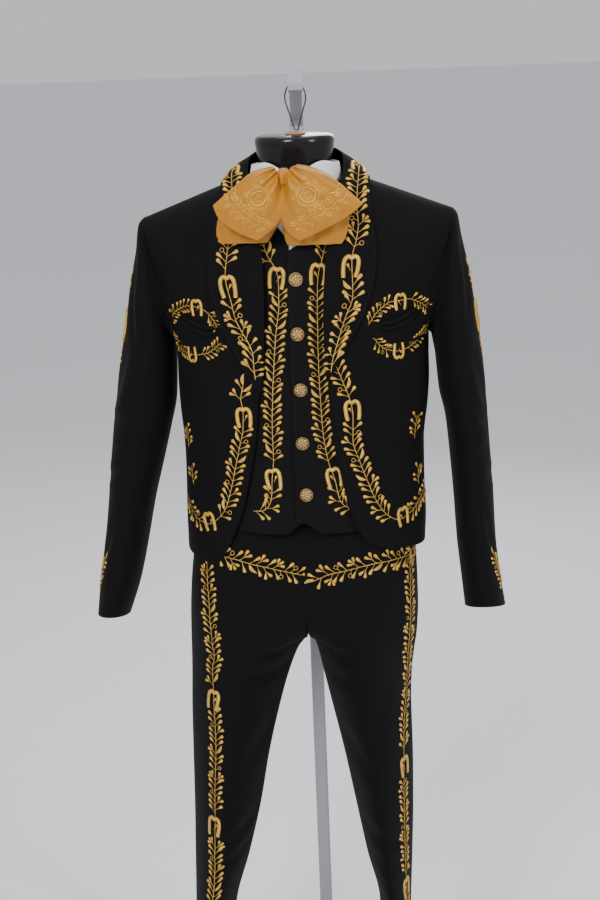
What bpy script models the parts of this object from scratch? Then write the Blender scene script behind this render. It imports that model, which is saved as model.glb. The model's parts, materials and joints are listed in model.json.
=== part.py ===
"""Charro suit on a limbless dress form, hung from a hooked stand. Metres, +Z up, front faces -Y."""
import math

import bmesh
import bpy
import numpy as np
from mathutils import Vector

# ---- sizes shared by the pieces -------------------------------------------------------------
WALL = 0.0018            # thickness of a cloth wall
SEAM = 0.0002            # half of the slot left at a seam
ARM_Z = 1.310            # height of the underarm
RIDGE_Y = 0.005          # y of the shoulder seam
NECK_X = 0.090           # x and height where the shoulder line starts
NECK_Z = 1.540
SHOULDER_FALL = 0.377    # drop of the shoulder line per metre outwards
TOP_HALF = 0.262         # half width the body would reach at the top of the shoulders

JACKET_OFF = 0.0         # how far each layer lies outside the jacket's outer face
COLLAR_OFF = 0.0046
VEST_OFF = -0.0070
SHIRT_OFF = -0.0120

# Body of the jacket, one row per height: wearer's left half width, right half width,
# depth in front, depth behind, roundness of the corners.
BODY_COLUMNS = ("z", "left", "right", "front", "back", "power")
BODY = [
    (0.955, 0.178, 0.189, 0.128, 0.121, 2.40),
    (1.030, 0.181, 0.188, 0.125, 0.118, 2.40),
    (1.090, 0.180, 0.186, 0.118, 0.110, 2.40),
    (1.140, 0.180, 0.185, 0.115, 0.107, 2.40),
    (1.200, 0.186, 0.187, 0.118, 0.111, 2.45),
    (1.250, 0.189, 0.188, 0.120, 0.115, 2.50),
    (1.310, 0.190, 0.189, 0.118, 0.117, 2.50),
]

# Front edge of each jacket front below the collar, by height.
EDGE_COLUMNS = ("z", "left", "right")
FRONT_EDGE = [
    (1.000, 0.094, 0.119),
    (1.030, 0.081, 0.106),
    (1.060, 0.069, 0.094),
    (1.095, 0.061, 0.084),
    (1.130, 0.053, 0.076),
    (1.170, 0.047, 0.068),
    (1.220, 0.043, 0.062),
    (1.265, 0.042, 0.057),
    (1.310, 0.044, 0.053),
]

# Armhole of the jacket: angle up the shoulder, x of the front edge, x of the back edge.
ARMHOLE_COLUMNS = ("angle", "front", "back")
ARMHOLE = [
    (0.0, 0.1890, 0.1890),
    (11.25, 0.1850, 0.1880),
    (22.5, 0.1970, 0.1980),
    (33.75, 0.2080, 0.2080),
    (45.0, 0.2165, 0.2165),
    (56.25, 0.2220, 0.2220),
    (67.5, 0.2250, 0.2250),
    (90.0, 0.2265, 0.2265),
]

# Sleeves, one row per section from the shoulder down: outer point, inner point,
# middle of the depth, half depth, roundness, rise of the front of the section.
SLEEVE_COLUMNS = ("outer_x", "outer_z", "inner_x", "inner_z", "mid_y", "half", "power", "lift")
SLEEVE_RIGHT = [
    (0.2355, 1.4800, 0.1925, 1.3030, 0.004, 0.066, 2.0, 0.000),
    (0.2410, 1.4430, 0.1930, 1.2880, 0.004, 0.076, 2.1, 0.000),
    (0.2530, 1.3850, 0.1935, 1.2680, 0.004, 0.081, 2.2, 0.000),
    (0.2660, 1.3200, 0.1945, 1.2440, 0.005, 0.081, 2.2, 0.000),
    (0.2800, 1.2540, 0.1970, 1.2120, 0.006, 0.079, 2.2, 0.000),
    (0.2920, 1.1880, 0.2070, 1.1700, 0.006, 0.076, 2.2, 0.000),
    (0.3015, 1.1200, 0.2220, 1.1140, 0.003, 0.073, 2.2, 0.000),
    (0.3090, 1.0560, 0.2390, 1.0520, -0.002, 0.070, 2.2, 0.003),
    (0.3190, 0.9850, 0.2540, 0.9830, -0.010, 0.067, 2.1, 0.006),
    (0.3290, 0.9260, 0.2690, 0.9240, -0.017, 0.064, 2.1, 0.010),
    (0.3350, 0.8760, 0.2880, 0.8720, -0.023, 0.060, 2.1, 0.014),
]
SLEEVE_LEFT = [
    (0.2345, 1.4800, 0.1935, 1.3030, 0.004, 0.066, 2.0, 0.000),
    (0.2410, 1.4430, 0.1960, 1.2900, 0.004, 0.076, 2.1, 0.000),
    (0.2530, 1.3850, 0.1990, 1.2720, 0.004, 0.082, 2.2, 0.000),
    (0.2630, 1.3200, 0.2010, 1.2500, 0.005, 0.083, 2.2, 0.000),
    (0.2710, 1.2540, 0.2040, 1.2180, 0.006, 0.082, 2.2, 0.000),
    (0.2760, 1.1880, 0.2130, 1.1760, 0.006, 0.080, 2.2, 0.000),
    (0.2805, 1.1200, 0.2190, 1.1160, 0.003, 0.077, 2.2, 0.000),
    (0.2845, 1.0560, 0.2240, 1.0520, -0.002, 0.073, 2.2, 0.003),
    (0.2875, 0.9850, 0.2280, 0.9830, -0.010, 0.069, 2.1, 0.007),
    (0.2940, 0.9260, 0.2340, 0.9240, -0.017, 0.065, 2.1, 0.012),
    (0.3010, 0.8780, 0.2390, 0.8760, -0.023, 0.060, 2.1, 0.018),
]
SLEEVE_SEAMS = (104.5, 255.5)    # angles of the front and hind seams of a sleeve
ELBOW_ROW = 6.0          # each panel is two solids, parted here by a slot half of ROW_SLOT rows each way
ROW_SLOT = 0.003

# Shawl collar seen from the front: roll line and outer edge, from the tip to the neck.
SHAWL_COLUMNS = ("roll_x", "roll_z", "edge_x", "edge_z")
SHAWL_LEFT = [
    (0.0400, 1.2620, 0.0490, 1.2700),
    (0.0395, 1.2850, 0.0640, 1.3000),
    (0.0390, 1.3150, 0.0820, 1.3280),
    (0.0390, 1.3450, 0.0960, 1.3540),
    (0.0400, 1.3750, 0.1060, 1.3800),
    (0.0420, 1.4050, 0.1130, 1.4080),
    (0.0450, 1.4350, 0.1160, 1.4370),
    (0.0500, 1.4650, 0.1140, 1.4660),
    (0.0570, 1.4950, 0.1110, 1.4930),
    (0.0650, 1.5200, 0.1090, 1.5150),
]
SHAWL_RIGHT = [
    (0.0550, 1.2480, 0.0660, 1.2560),
    (0.0520, 1.2800, 0.0840, 1.2900),
    (0.0500, 1.3120, 0.1000, 1.3200),
    (0.0480, 1.3440, 0.1130, 1.3500),
    (0.0470, 1.3750, 0.1220, 1.3790),
    (0.0470, 1.4050, 0.1270, 1.4080),
    (0.0480, 1.4350, 0.1270, 1.4370),
    (0.0520, 1.4650, 0.1220, 1.4660),
    (0.0580, 1.4950, 0.1150, 1.4930),
    (0.0650, 1.5200, 0.1100, 1.5150),
]
# The same collar from the shoulder to the middle of the back.
NECK_COLUMNS = ("roll_x", "roll_y", "roll_z", "edge_x", "edge_y", "edge_z")
SHAWL_NECK = [
    (0.0700, -0.0200, 1.5490, 0.1080, -0.0150, 1.5395),
    (0.0710, 0.0080, 1.5650, 0.1060, 0.0220, 1.5370),
    (0.0640, 0.0360, 1.5740, 0.0940, 0.0530, 1.5270),
    (0.0460, 0.0580, 1.5790, 0.0690, 0.0750, 1.5160),
    (0.0240, 0.0700, 1.5810, 0.0360, 0.0850, 1.5090),
    (0.0002, 0.0730, 1.5815, 0.0002, 0.0880, 1.5070),
]

# Vest: opening and lower edge.
VEST_NECK = [(1.432, 0.0), (1.455, 0.017), (1.480, 0.036), (1.505, 0.055), (1.525, 0.069), (1.540, 0.0745)]
VEST_LAP = 0.012         # how far the wearer's left front laps over the right
VEST_LOW = [(0.0, 1.048), (0.031, 1.029), (0.060, 1.040), (0.110, 1.052), (0.190, 1.062)]
VEST_ARM = [(0.0, 0.1760), (15.0, 0.1560), (45.0, 0.1480), (75.0, 0.1500), (90.0, 0.1520)]

# Trousers, one row per height: outer and inner x of each leg, crease depths, side-seam y.
LEG_COLUMNS = ("z", "out_right", "in_right", "out_left", "in_left", "front", "back")
LEGS = [
    (0.040, 0.2250, 0.1700, 0.1420, 0.0920, 0.088, 0.094),
    (0.200, 0.2200, 0.1600, 0.1430, 0.0930, 0.088, 0.094),
    (0.340, 0.2150, 0.1470, 0.1460, 0.0940, 0.089, 0.095),
    (0.436, 0.2110, 0.1200, 0.1500, 0.0750, 0.090, 0.096),
    (0.528, 0.2070, 0.0970, 0.1530, 0.0590, 0.091, 0.097),
    (0.619, 0.2040, 0.0790, 0.1540, 0.0430, 0.093, 0.099),
    (0.707, 0.2010, 0.0570, 0.1530, 0.0250, 0.095, 0.102),
    (0.760, 0.1980, 0.0410, 0.1550, 0.0140, 0.097, 0.106),
    (0.800, 0.1960, 0.0250, 0.1600, 0.0060, 0.099, 0.110),
    (0.826, 0.1950, 0.0080, 0.1640, -0.0020, 0.101, 0.112),
    (0.880, 0.1920, 0.0050, 0.1670, -0.0050, 0.105, 0.114),
    (0.940, 0.1860, 0.0050, 0.1660, -0.0050, 0.108, 0.107),
    (0.985, 0.1790, 0.0040, 0.1640, -0.0040, 0.108, 0.100),
    (1.036, 0.1680, 0.0030, 0.1590, -0.0030, 0.103, 0.096),
]
CROTCH_Z = 0.826
CROTCH_RISE = 0.085      # height over which the crotch curve straightens
BAND_Z = (1.0366, 1.076)

# Bow, seen from the front, x and height. Each lobe is a folded band: its gathered end, its
# upper edge, its inner edge and the fold at the far end.
BOW_Y = -0.124
BOW_KNOT = (-0.0110, 1.5530)
BOW_LOBES = {
    "left": dict(
        gather=[(0.0213, 1.5655), (0.0080, 1.5610), (-0.0010, 1.5480)],
        upper=[(0.0213, 1.5655), (0.0400, 1.5589), (0.0646, 1.5430), (0.0987, 1.5117)],
        inner=[(-0.0010, 1.5480), (-0.0085, 1.5300), (-0.0110, 1.5070), (-0.0035, 1.4800), (0.0085, 1.4627)],
        fold=[(0.0987, 1.5117), (0.0784, 1.4957), (0.0425, 1.4770), (0.0085, 1.4627)]),
    "right": dict(
        gather=[(-0.0320, 1.5640), (-0.0262, 1.5560), (-0.0215, 1.5450)],
        upper=[(-0.0320, 1.5640), (-0.0568, 1.5577), (-0.0743, 1.5447), (-0.1104, 1.5156)],
        inner=[(-0.0215, 1.5450), (-0.0130, 1.5300), (-0.0150, 1.5070), (-0.0300, 1.4840), (-0.0504, 1.4654)],
        fold=[(-0.1104, 1.5156), (-0.1015, 1.4954), (-0.0762, 1.4762), (-0.0504, 1.4654)]),
}
# Flat tail behind each lobe: height, outer x, inner x.
BOW_TAILS = {
    "left": [(1.5200, 0.0420, -0.0060), (1.4906, 0.0776, -0.0160), (1.4644, 0.0725, -0.0125), (1.4550, 0.0660, -0.0090)],
    "right": [(1.5200, -0.0640, -0.0180), (1.4919, -0.1064, -0.0185), (1.4733, -0.1090, -0.0290), (1.4600, -0.1030, -0.0380)],
}

# Dress form: height, half width, half depth, roundness.
FORM = [
    (0.905, 0.120, 0.070, 2.2),
    (0.930, 0.136, 0.080, 2.2),
    (1.000, 0.140, 0.082, 2.2),
    (1.080, 0.130, 0.076, 2.2),
    (1.150, 0.132, 0.078, 2.2),
    (1.250, 0.150, 0.088, 2.3),
    (1.330, 0.158, 0.090, 2.4),
    (1.400, 0.158, 0.080, 2.4),
    (1.445, 0.142, 0.066, 2.3),
    (1.475, 0.108, 0.056, 2.2),
    (1.500, 0.074, 0.051, 2.1),
    (1.520, 0.057, 0.050, 2.0),
    (1.545, 0.0525, 0.050, 2.0),
    (1.575, 0.0555, 0.053, 2.0),
    (1.594, 0.0580, 0.055, 2.0),
    (1.5995, 0.0560, 0.053, 2.0),
    (1.6012, 0.0500, 0.047, 2.0),
]

POLE_X = -0.0035
POLE_Y = 0.138
POLE_SIDE = 0.0208
POLE_TOP = 1.622
BASE_RADIUS = 0.190
BASE_THICK = 0.010
BASE_CLEAR = 0.0003
HOOK_WIDTH = 0.0215
HOOK_THICK = 0.003

# colour, roughness, metallic
CLOTH = ((0.012, 0.012, 0.014), 0.85, 0.0)
VEST_CLOTH = ((0.014, 0.014, 0.016), 0.85, 0.0)
SATIN = ((0.78, 0.42, 0.09), 0.38, 0.0)
SATIN_DARK = ((0.62, 0.32, 0.06), 0.42, 0.0)
SHIRT_CLOTH = ((0.80, 0.80, 0.80), 0.80, 0.0)
BRASS = ((0.62, 0.42, 0.16), 0.35, 1.0)
GLOSS_BLACK = ((0.010, 0.010, 0.011), 0.12, 0.0)
GREY_PAINT = ((0.42, 0.43, 0.45), 0.45, 0.3)
DARK_WIRE = ((0.05, 0.05, 0.055), 0.40, 1.0)
WOOD = ((0.50, 0.27, 0.12), 0.60, 0.0)


# ---- small helpers --------------------------------------------------------------------------
def read(table, columns, z, name):
    """Value of one named column at a height, straight lines between the rows."""
    k = columns.index(name)
    return float(np.interp(z, [row[0] for row in table], [row[k] for row in table]))


def smooth(t):
    t = min(1.0, max(0.0, t))
    return t * t * (3.0 - 2.0 * t)


def material(name, look):
    colour, roughness, metallic = look
    m = bpy.data.materials.new(name)
    m.use_nodes = True
    node = m.node_tree.nodes["Principled BSDF"]
    node.inputs["Base Color"].default_value = (*colour, 1.0)
    node.inputs["Roughness"].default_value = roughness
    node.inputs["Metallic"].default_value = metallic
    m.diffuse_color = (*colour, 1.0)
    return m


def solid(name, points, faces, look):
    """One named object from points and faces, facing out."""
    mesh = bpy.data.meshes.new(name)
    mesh.from_pydata([tuple(p) for p in points], [], faces)
    work = bmesh.new()
    work.from_mesh(mesh)
    bmesh.ops.recalc_face_normals(work, faces=work.faces)
    if work.calc_volume(signed=True) < 0.0:
        bmesh.ops.reverse_faces(work, faces=work.faces)
    work.to_mesh(mesh)
    work.free()
    for polygon in mesh.polygons:
        polygon.use_smooth = True
    mesh.set_sharp_from_angle(angle=math.radians(40.0))
    piece = bpy.data.objects.new(name, mesh)
    bpy.context.scene.collection.objects.link(piece)
    mesh.materials.append(material(name, look))
    return piece


def wall(name, outer, inner, look):
    """A sheet with thickness: two grids of the same size joined round their rim."""
    rows, cols = outer.shape[:2]
    points = np.concatenate([outer.reshape(-1, 3), inner.reshape(-1, 3)])
    back = rows * cols
    faces = []
    for i in range(rows - 1):
        for j in range(cols - 1):
            a = i * cols + j
            b, c, d = a + 1, a + cols + 1, a + cols
            faces.append((a, b, c, d))
            faces.append((back + a, back + d, back + c, back + b))
    rim = [j for j in range(cols)]
    rim += [i * cols + cols - 1 for i in range(1, rows)]
    rim += [(rows - 1) * cols + j for j in range(cols - 2, -1, -1)]
    rim += [i * cols for i in range(rows - 2, 0, -1)]
    for k, a in enumerate(rim):
        b = rim[(k + 1) % len(rim)]
        faces.append((a, back + a, back + b, b))
    return solid(name, points, faces, look)


def tube(name, rings, look, closed_path=False, caps=True):
    """Loft through rings of points; the ends are capped with a fan."""
    n = len(rings[0])
    points = [p for ring in rings for p in ring]
    faces = []
    last = len(rings) if closed_path else len(rings) - 1
    for i in range(last):
        for j in range(n):
            a = i * n + j
            b = i * n + (j + 1) % n
            k = ((i + 1) % len(rings)) * n
            faces.append((a, b, k + (j + 1) % n, k + j))
    if caps and not closed_path:
        for i in (0, len(rings) - 1):
            middle = len(points)
            points.append(np.mean(np.array(rings[i]), axis=0))
            for j in range(n):
                faces.append((i * n + j, i * n + (j + 1) % n, middle))
    return solid(name, points, faces, look)


# ---- the body surface shared by jacket, vest and collar ---------------------------------------
def body_half(z, side, off=0.0):
    return read(BODY, BODY_COLUMNS, z, "left" if side > 0 else "right") + off


def ring_depth(x, z, side, face, off):
    """Depth of the body at one x, in front (face -1) or behind (face +1)."""
    half = body_half(z, side, off)
    deep = read(BODY, BODY_COLUMNS, z, "front" if face < 0 else "back") + off
    power = read(BODY, BODY_COLUMNS, z, "power")
    part = max(0.0, 1.0 - abs(x / half) ** power)
    return deep * part ** (1.0 / power)


def low_point(x, z, side, face, off):
    """A point of the body below the underarm."""
    return (side * x, face * (ring_depth(x, z, side, face, off) + SEAM), z)


def high_point(x, angle, side, face, off):
    """A point of the shoulders: angle 0 at the underarm level, 90 on the shoulder seam."""
    t = math.radians(angle)
    start = body_half(ARM_Z, side, off)
    half = start + (TOP_HALF + off - start) * math.sin(t)
    deep = read(BODY, BODY_COLUMNS, ARM_Z, "front" if face < 0 else "back") + off
    power = read(BODY, BODY_COLUMNS, ARM_Z, "power")
    part = max(0.0, 1.0 - abs(x / half) ** power) ** (1.0 / power)
    rise = NECK_Z - (x - NECK_X) * SHOULDER_FALL - ARM_Z + off
    y = RIDGE_Y * math.sin(t) + face * (deep * part * max(0.0, math.cos(t)) + SEAM)
    return (side * x, y, ARM_Z + rise * math.sin(t))


def front_point(x, z, off, face=-1):
    """A point on the front (or back) found by x and height; x is signed."""
    side = 1 if x >= 0 else -1
    x = abs(x)
    if z <= ARM_Z:
        return low_point(x, z, side, face, off)
    rise = NECK_Z - (x - NECK_X) * SHOULDER_FALL - ARM_Z + off
    share = min(1.0, (z - ARM_Z) / rise)
    return high_point(x, math.degrees(math.asin(share)), side, face, off)


def nape_angle(x, radius):
    """How far up the shoulders the back may reach at x, staying outside a round neck opening."""
    if x >= radius:
        return 90.0
    need = (math.sqrt(radius ** 2 - x ** 2) - 0.004) / 0.117
    return math.degrees(math.acos(min(1.0, max(0.0, need))))


def armhole_x(angle, face):
    return read(ARMHOLE, ARMHOLE_COLUMNS, angle, "front" if face < 0 else "back")


def shares(count):
    """Places across a panel, closer together toward its outer edge."""
    return [math.sin(0.5 * math.pi * k / count) for k in range(count + 1)]


def panel(name, across, low_rows, high_rows, point, look, off):
    """A body panel from point(share, row, off), rows counted from the hem to the shoulder."""
    rows = low_rows + high_rows
    outer = np.array([[point(u, k, off) for u in across] for k in range(rows + 1)])
    inner = np.array([[point(u, k, off - WALL) for u in across] for k in range(rows + 1)])
    return wall(name, outer, inner, look)


# ---- jacket ---------------------------------------------------------------------------------
HEM_Z = {1: 0.998, -1: 0.977}      # wearer's left, wearer's right
BACK_HEM_Z = 0.985
CORNER_RISE = 0.036
NAPE_RADIUS = 0.0700


def jacket_hem(u, side):
    """Height of the front hem: a rounded corner, then nearly level to the side seam."""
    round_part = max(0.0, 1.0 - u / 0.42)
    rise = CORNER_RISE * (1.0 - math.sqrt(1.0 - round_part ** 2))
    level = HEM_Z[side] + (BACK_HEM_Z - HEM_Z[side]) * u ** 3
    return level + rise


def jacket_front_point(side, low_rows, high_rows):
    name = "left" if side > 0 else "right"
    shawl = SHAWL_LEFT if side > 0 else SHAWL_RIGHT
    neck_x = 0.0745

    def point(u, k, off):
        if k <= low_rows:
            bottom = jacket_hem(u, side)
            z = bottom + (ARM_Z - bottom) * (k / low_rows)
            inner = read(FRONT_EDGE, EDGE_COLUMNS, z, name)
            outer = body_half(z, side, off)
            return low_point(inner + (outer - inner) * u, z, side, -1, off)
        angle = 90.0 * (k - low_rows) / high_rows
        z_here = ARM_Z + (NECK_Z - ARM_Z) * math.sin(math.radians(angle))
        start = read(FRONT_EDGE, EDGE_COLUMNS, ARM_Z, name)
        rolled = float(np.interp(z_here, [r[1] for r in shawl], [r[0] for r in shawl])) + 0.004
        blend = smooth(angle / 20.0)
        inner = start + (rolled - start) * blend
        inner += (neck_x - inner) * smooth((angle - 60.0) / 30.0)
        outer = armhole_x(angle, -1)
        if k == low_rows:
            outer = body_half(ARM_Z, side, off)
        return high_point(inner + (outer - inner) * u, angle, side, -1, off)
    return point


def jacket_back_point(side, low_rows, high_rows):
    def point(u, k, off):
        if k <= low_rows:
            z = BACK_HEM_Z + (ARM_Z - BACK_HEM_Z) * (k / low_rows)
            outer = body_half(z, side, off)
            return low_point(SEAM + (outer - SEAM) * u, z, side, 1, off)
        angle = nape_angle(u * 0.205, NAPE_RADIUS) * (k - low_rows) / high_rows
        outer = armhole_x(angle, 1)
        return high_point(SEAM + (outer - SEAM) * u, angle, side, 1, off)
    return point


def make_jacket_body():
    for side, word in ((1, "left"), (-1, "right")):
        panel("jacket_front_" + word, shares(8), 9, 8,
              jacket_front_point(side, 9, 8), CLOTH, JACKET_OFF)
        across = [0.0, 0.11, 0.21, 0.29, 0.37, 0.52, 0.70, 0.85, 0.95, 1.0]
        panel("jacket_back_" + word, across, 6, 8,
              jacket_back_point(side, 6, 8), CLOTH, JACKET_OFF)


def armhole_ring(turn, side):
    """Point of the armhole seam at an angle round the sleeve: 0 shoulder, 90 front, 180 underarm."""
    t = math.radians(turn)
    face = -1 if math.sin(t) >= 0 else 1
    angle = 90.0 * (0.5 + 0.5 * math.cos(t))
    x = armhole_x(angle, face)
    p = high_point(x, angle, side, face, JACKET_OFF)
    return np.array((p[0] + side * 0.0012, p[1], p[2]))


def sleeve_surface(side, table):
    """surface(turn, row) for a sleeve; row 0 is the armhole, the last row is the cuff."""
    columns = {name: [row[k] for row in table] for k, name in enumerate(SLEEVE_COLUMNS)}
    places = list(range(1, len(table) + 1))

    def ring(turn, row):
        v = {name: float(np.interp(row, places, values)) for name, values in columns.items()}
        t = math.radians(turn)
        c = math.copysign(abs(math.cos(t)) ** (2.0 / v["power"]), math.cos(t))
        s = math.copysign(abs(math.sin(t)) ** (2.0 / v["power"]), math.sin(t))
        x = 0.5 * (v["outer_x"] + v["inner_x"]) + 0.5 * (v["outer_x"] - v["inner_x"]) * c
        z = 0.5 * (v["outer_z"] + v["inner_z"]) + 0.5 * (v["outer_z"] - v["inner_z"]) * c
        return np.array((side * x, v["mid_y"] - v["half"] * s, z + v["lift"] * s))

    def surface(turn, row):
        if row >= 1.0:
            return ring(turn, row)
        share = max(row, 0.0)
        return armhole_ring(turn, side) * (1.0 - share) + ring(turn, 1.0) * share
    return surface


def make_sleeves():
    front_seam, hind_seam = SLEEVE_SEAMS
    slot = 0.25
    last = len(SLEEVE_LEFT)
    arm = [float(k) for k in range(6)] + [ELBOW_ROW - ROW_SLOT]
    forearm = [ELBOW_ROW + ROW_SLOT] + [float(k) for k in range(7, last + 1)]
    for side, word, table in ((1, "left", SLEEVE_LEFT), (-1, "right", SLEEVE_RIGHT)):
        surface = sleeve_surface(side, table)
        upper = [-front_seam + slot, -90.0, -75.5, -60.0, -41.4, -20.0, 0.0,
                 20.0, 41.4, 60.0, 75.5, 90.0, front_seam - slot]
        under = [front_seam + slot, 120.0, 138.6, 160.0, 180.0, 200.0, 221.4, 240.0, hind_seam - slot]
        for part, turns in (("upper", upper), ("under", under)):
            for place, rows in (("arm", arm), ("forearm", forearm)):
                if side < 0:
                    rows = rows[::-1]
                sleeve_wall("sleeve_" + part + "_" + word + "_" + place, surface, turns, rows)


def sleeve_wall(name, surface, turns, rows):
    """Wall of a sleeve piece, its inner face set in from the outer one toward the ring's middle."""
    outer = np.array([[surface(t, r) for t in turns] for r in rows])
    inner = np.zeros_like(outer)
    for i, r in enumerate(rows):
        whole = np.array([surface(t, r) for t in range(0, 360, 10)])
        middle = whole.mean(axis=0)
        for j, t in enumerate(turns):
            along = np.array(surface(t + 0.5, r)) - np.array(surface(t - 0.5, r))
            plane = np.cross(whole[9] - whole[27], whole[0] - whole[18])
            n = np.cross(along, plane)
            n /= np.linalg.norm(n)
            if np.dot(n, outer[i, j] - middle) < 0:
                n = -n
            inner[i, j] = outer[i, j] - n * WALL
    wall(name, outer, inner, CLOTH)


# ---- shawl collar ---------------------------------------------------------------------------
def collar_surface(side, table):
    """surface(share across, row): share 0 at the roll line, 1 at the outer edge."""
    total = len(table) + len(SHAWL_NECK)

    def at(share, k):
        bulge = 0.0022 * math.sin(math.pi * share)
        if k < len(table):
            roll_x, roll_z, edge_x, edge_z = table[k]
            x = roll_x + (edge_x - roll_x) * share
            z = roll_z + (edge_z - roll_z) * share
            near_neck = smooth((k - len(table) + 4) / 4.0) * 0.004
            off = COLLAR_OFF + bulge + 0.0025 * (1.0 - share) + near_neck * (1.0 - share)
            return np.array(front_point(side * x, z, off))
        r = SHAWL_NECK[k - len(table)]
        start = np.array((side * r[0], r[1], r[2]))
        end = np.array((side * r[3], r[4], r[5]))
        p = start + (end - start) * share
        p[2] += 0.006 * math.sin(math.pi * share)
        p[0] += side * 0.003 * math.sin(math.pi * share) * min(1.0, abs(r[0]) / 0.05)
        p[1] += 0.004 * math.sin(math.pi * share) * smooth(r[1] / 0.05)
        return p

    def surface(share, row):
        k = min(total - 2, max(0, int(math.floor(row))))
        t = row - k
        return at(share, k) * (1.0 - t) + at(share, k + 1) * t
    return surface, total


def make_collar():
    for side, word, table in ((1, "left", SHAWL_LEFT), (-1, "right", SHAWL_RIGHT)):
        surface, total = collar_surface(side, table)
        rows = list(range(total))
        across = [0.0, 0.25, 0.5, 0.75, 1.0]
        outer = np.array([[surface(u, k) for u in across] for k in rows])
        inner = np.zeros_like(outer)
        for i in range(len(rows)):
            for j in range(len(across)):
                du = outer[i, min(j + 1, 4)] - outer[i, max(j - 1, 0)]
                dv = outer[min(i + 1, total - 1), j] - outer[max(i - 1, 0), j]
                n = np.cross(du, dv) * side
                n /= np.linalg.norm(n)
                if i == total - 1:
                    n[0] = 0.0
                    n /= np.linalg.norm(n)
                inner[i, j] = outer[i, j] - n * WALL
        wall("collar_" + word, outer, inner, CLOTH)


# ---- breast pockets -------------------------------------------------------------------------
POCKET = [(0.117, 1.3355), (0.132, 1.3355), (0.147, 1.3390), (0.161, 1.3455), (0.1735, 1.3550)]


def welt_path(side, shift):
    for x, z in POCKET:
        yield side * x, z + shift


def make_pockets():
    for side, word in ((1, "left"), (-1, "right")):
        for part, shift in (("upper", 0.0042), ("lower", -0.0042)):
            rings = []
            path = list(welt_path(side, shift))
            for k, (x, z) in enumerate(path):
                end = 0.55 if k in (0, len(path) - 1) else 1.0
                ring = []
                for high, out in ((-0.0038, 0.0006), (-0.0027, 0.0028), (0.0, 0.0038),
                                  (0.0027, 0.0028), (0.0038, 0.0006)):
                    ring.append(front_point(x, z + high * end, JACKET_OFF + 0.0010 + out * end))
                rings.append(ring)
            tube("pocket_welt_" + part + "_" + word, rings, CLOTH)


# ---- vest -----------------------------------------------------------------------------------
def vest_low(x):
    return float(np.interp(abs(x), [r[0] for r in VEST_LOW], [r[1] for r in VEST_LOW]))


def vest_neck_x(z):
    return float(np.interp(z, [r[0] for r in VEST_NECK], [r[1] for r in VEST_NECK]))


def vest_arm_x(angle):
    return float(np.interp(angle, [r[0] for r in VEST_ARM], [r[1] for r in VEST_ARM]))


def vest_front_point(side, low_rows, high_rows):
    """The wearer's left front reaches past the middle and lies over the right front."""
    start = -VEST_LAP if side > 0 else 0.0100

    def point(u, k, off):
        if k <= low_rows:
            outer = body_half(ARM_Z, side, off) - 0.0005
            bottom = vest_low(start + (outer - start) * u)
            z = bottom + (ARM_Z - bottom) * (k / low_rows)
            outer = body_half(z, side, off)
            x = start + (outer - start) * u
            lift = lap_lift(x, side)
            p = low_point(abs(x), z, side, -1, off + lift)
            return (side * x, p[1], p[2])
        angle = 90.0 * (k - low_rows) / high_rows
        z_here = ARM_Z + (NECK_Z - ARM_Z) * math.sin(math.radians(angle))
        inner = max(start, vest_neck_x(z_here)) if z_here > 1.432 else start
        outer = vest_arm_x(angle)
        if k == low_rows:
            outer = body_half(ARM_Z, side, off)
        x = inner + (outer - inner) * u
        p = high_point(abs(x), angle, side, -1, off + lap_lift(x, side))
        return (side * x, p[1], p[2])
    return point


def lap_lift(x, side):
    if side < 0:
        return 0.0
    return 0.0026 * (1.0 - smooth((x - 0.012) / 0.020))


def make_vest():
    across = [0.0, 0.08, 0.16, 0.24, 0.42, 0.60, 0.78, 0.92, 1.0]
    for side, word in ((1, "left"), (-1, "right")):
        panel("vest_front_" + word, across, 6, 7,
              vest_front_point(side, 6, 7), VEST_CLOTH, VEST_OFF)

    def back_point(u, k, off):
        side = 1 if u >= 0 else -1
        if k <= 5:
            z = 1.064 + (ARM_Z - 1.064) * k / 5.0
            x = body_half(z, side, off) * abs(u)
            return low_point(x, z, side, 1, off)
        angle = nape_angle(abs(u) * 0.152, NAPE_RADIUS + 0.001) * (k - 5) / 5.0
        return high_point(vest_arm_x(angle) * abs(u), angle, side, 1, off)
    half = [0.0, 0.18, 0.34, 0.46, 0.64, 0.84, 0.96, 1.0]
    panel("vest_back", [-u for u in half[:0:-1]] + half, 5, 5, back_point, VEST_CLOTH, VEST_OFF)


BUTTONS = [(0.000, 1.406), (0.000, 1.329), (0.0015, 1.248), (0.001, 1.167), (0.004, 1.089)]
BUTTON_RADIUS = 0.0100
BUTTON_PROFILE = [(0.80, 0.0000), (0.97, 0.0004), (1.00, 0.0011), (0.96, 0.0020),
                  (0.88, 0.0023), (0.82, 0.0021), (0.70, 0.0030), (0.40, 0.0039), (0.15, 0.0042)]


def make_buttons():
    for k, (x, z) in enumerate(BUTTONS):
        surface_off = VEST_OFF + 0.0026 + 0.0006
        base = Vector(front_point(x, z, surface_off))
        below = Vector(front_point(x, z - 0.008, surface_off))
        above = Vector(front_point(x, z + 0.008, surface_off))
        up = (above - below).normalized()
        right = Vector((1.0, 0.0, 0.0))
        out = right.cross(up)
        rings = []
        for share, height in BUTTON_PROFILE:
            radius = BUTTON_RADIUS * share
            ring = []
            for j in range(14):
                a = 2.0 * math.pi * j / 14
                ring.append(base + right * radius * math.cos(a) + up * radius * math.sin(a)
                            + out * height)
            rings.append(ring)
        tube("vest_button_%d" % (k + 1), rings, BRASS)


# ---- shirt ----------------------------------------------------------------------------------
SHIRT_RING = (0.0600, 0.0590, -0.001)    # half width, half depth, middle y of the stand


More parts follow.
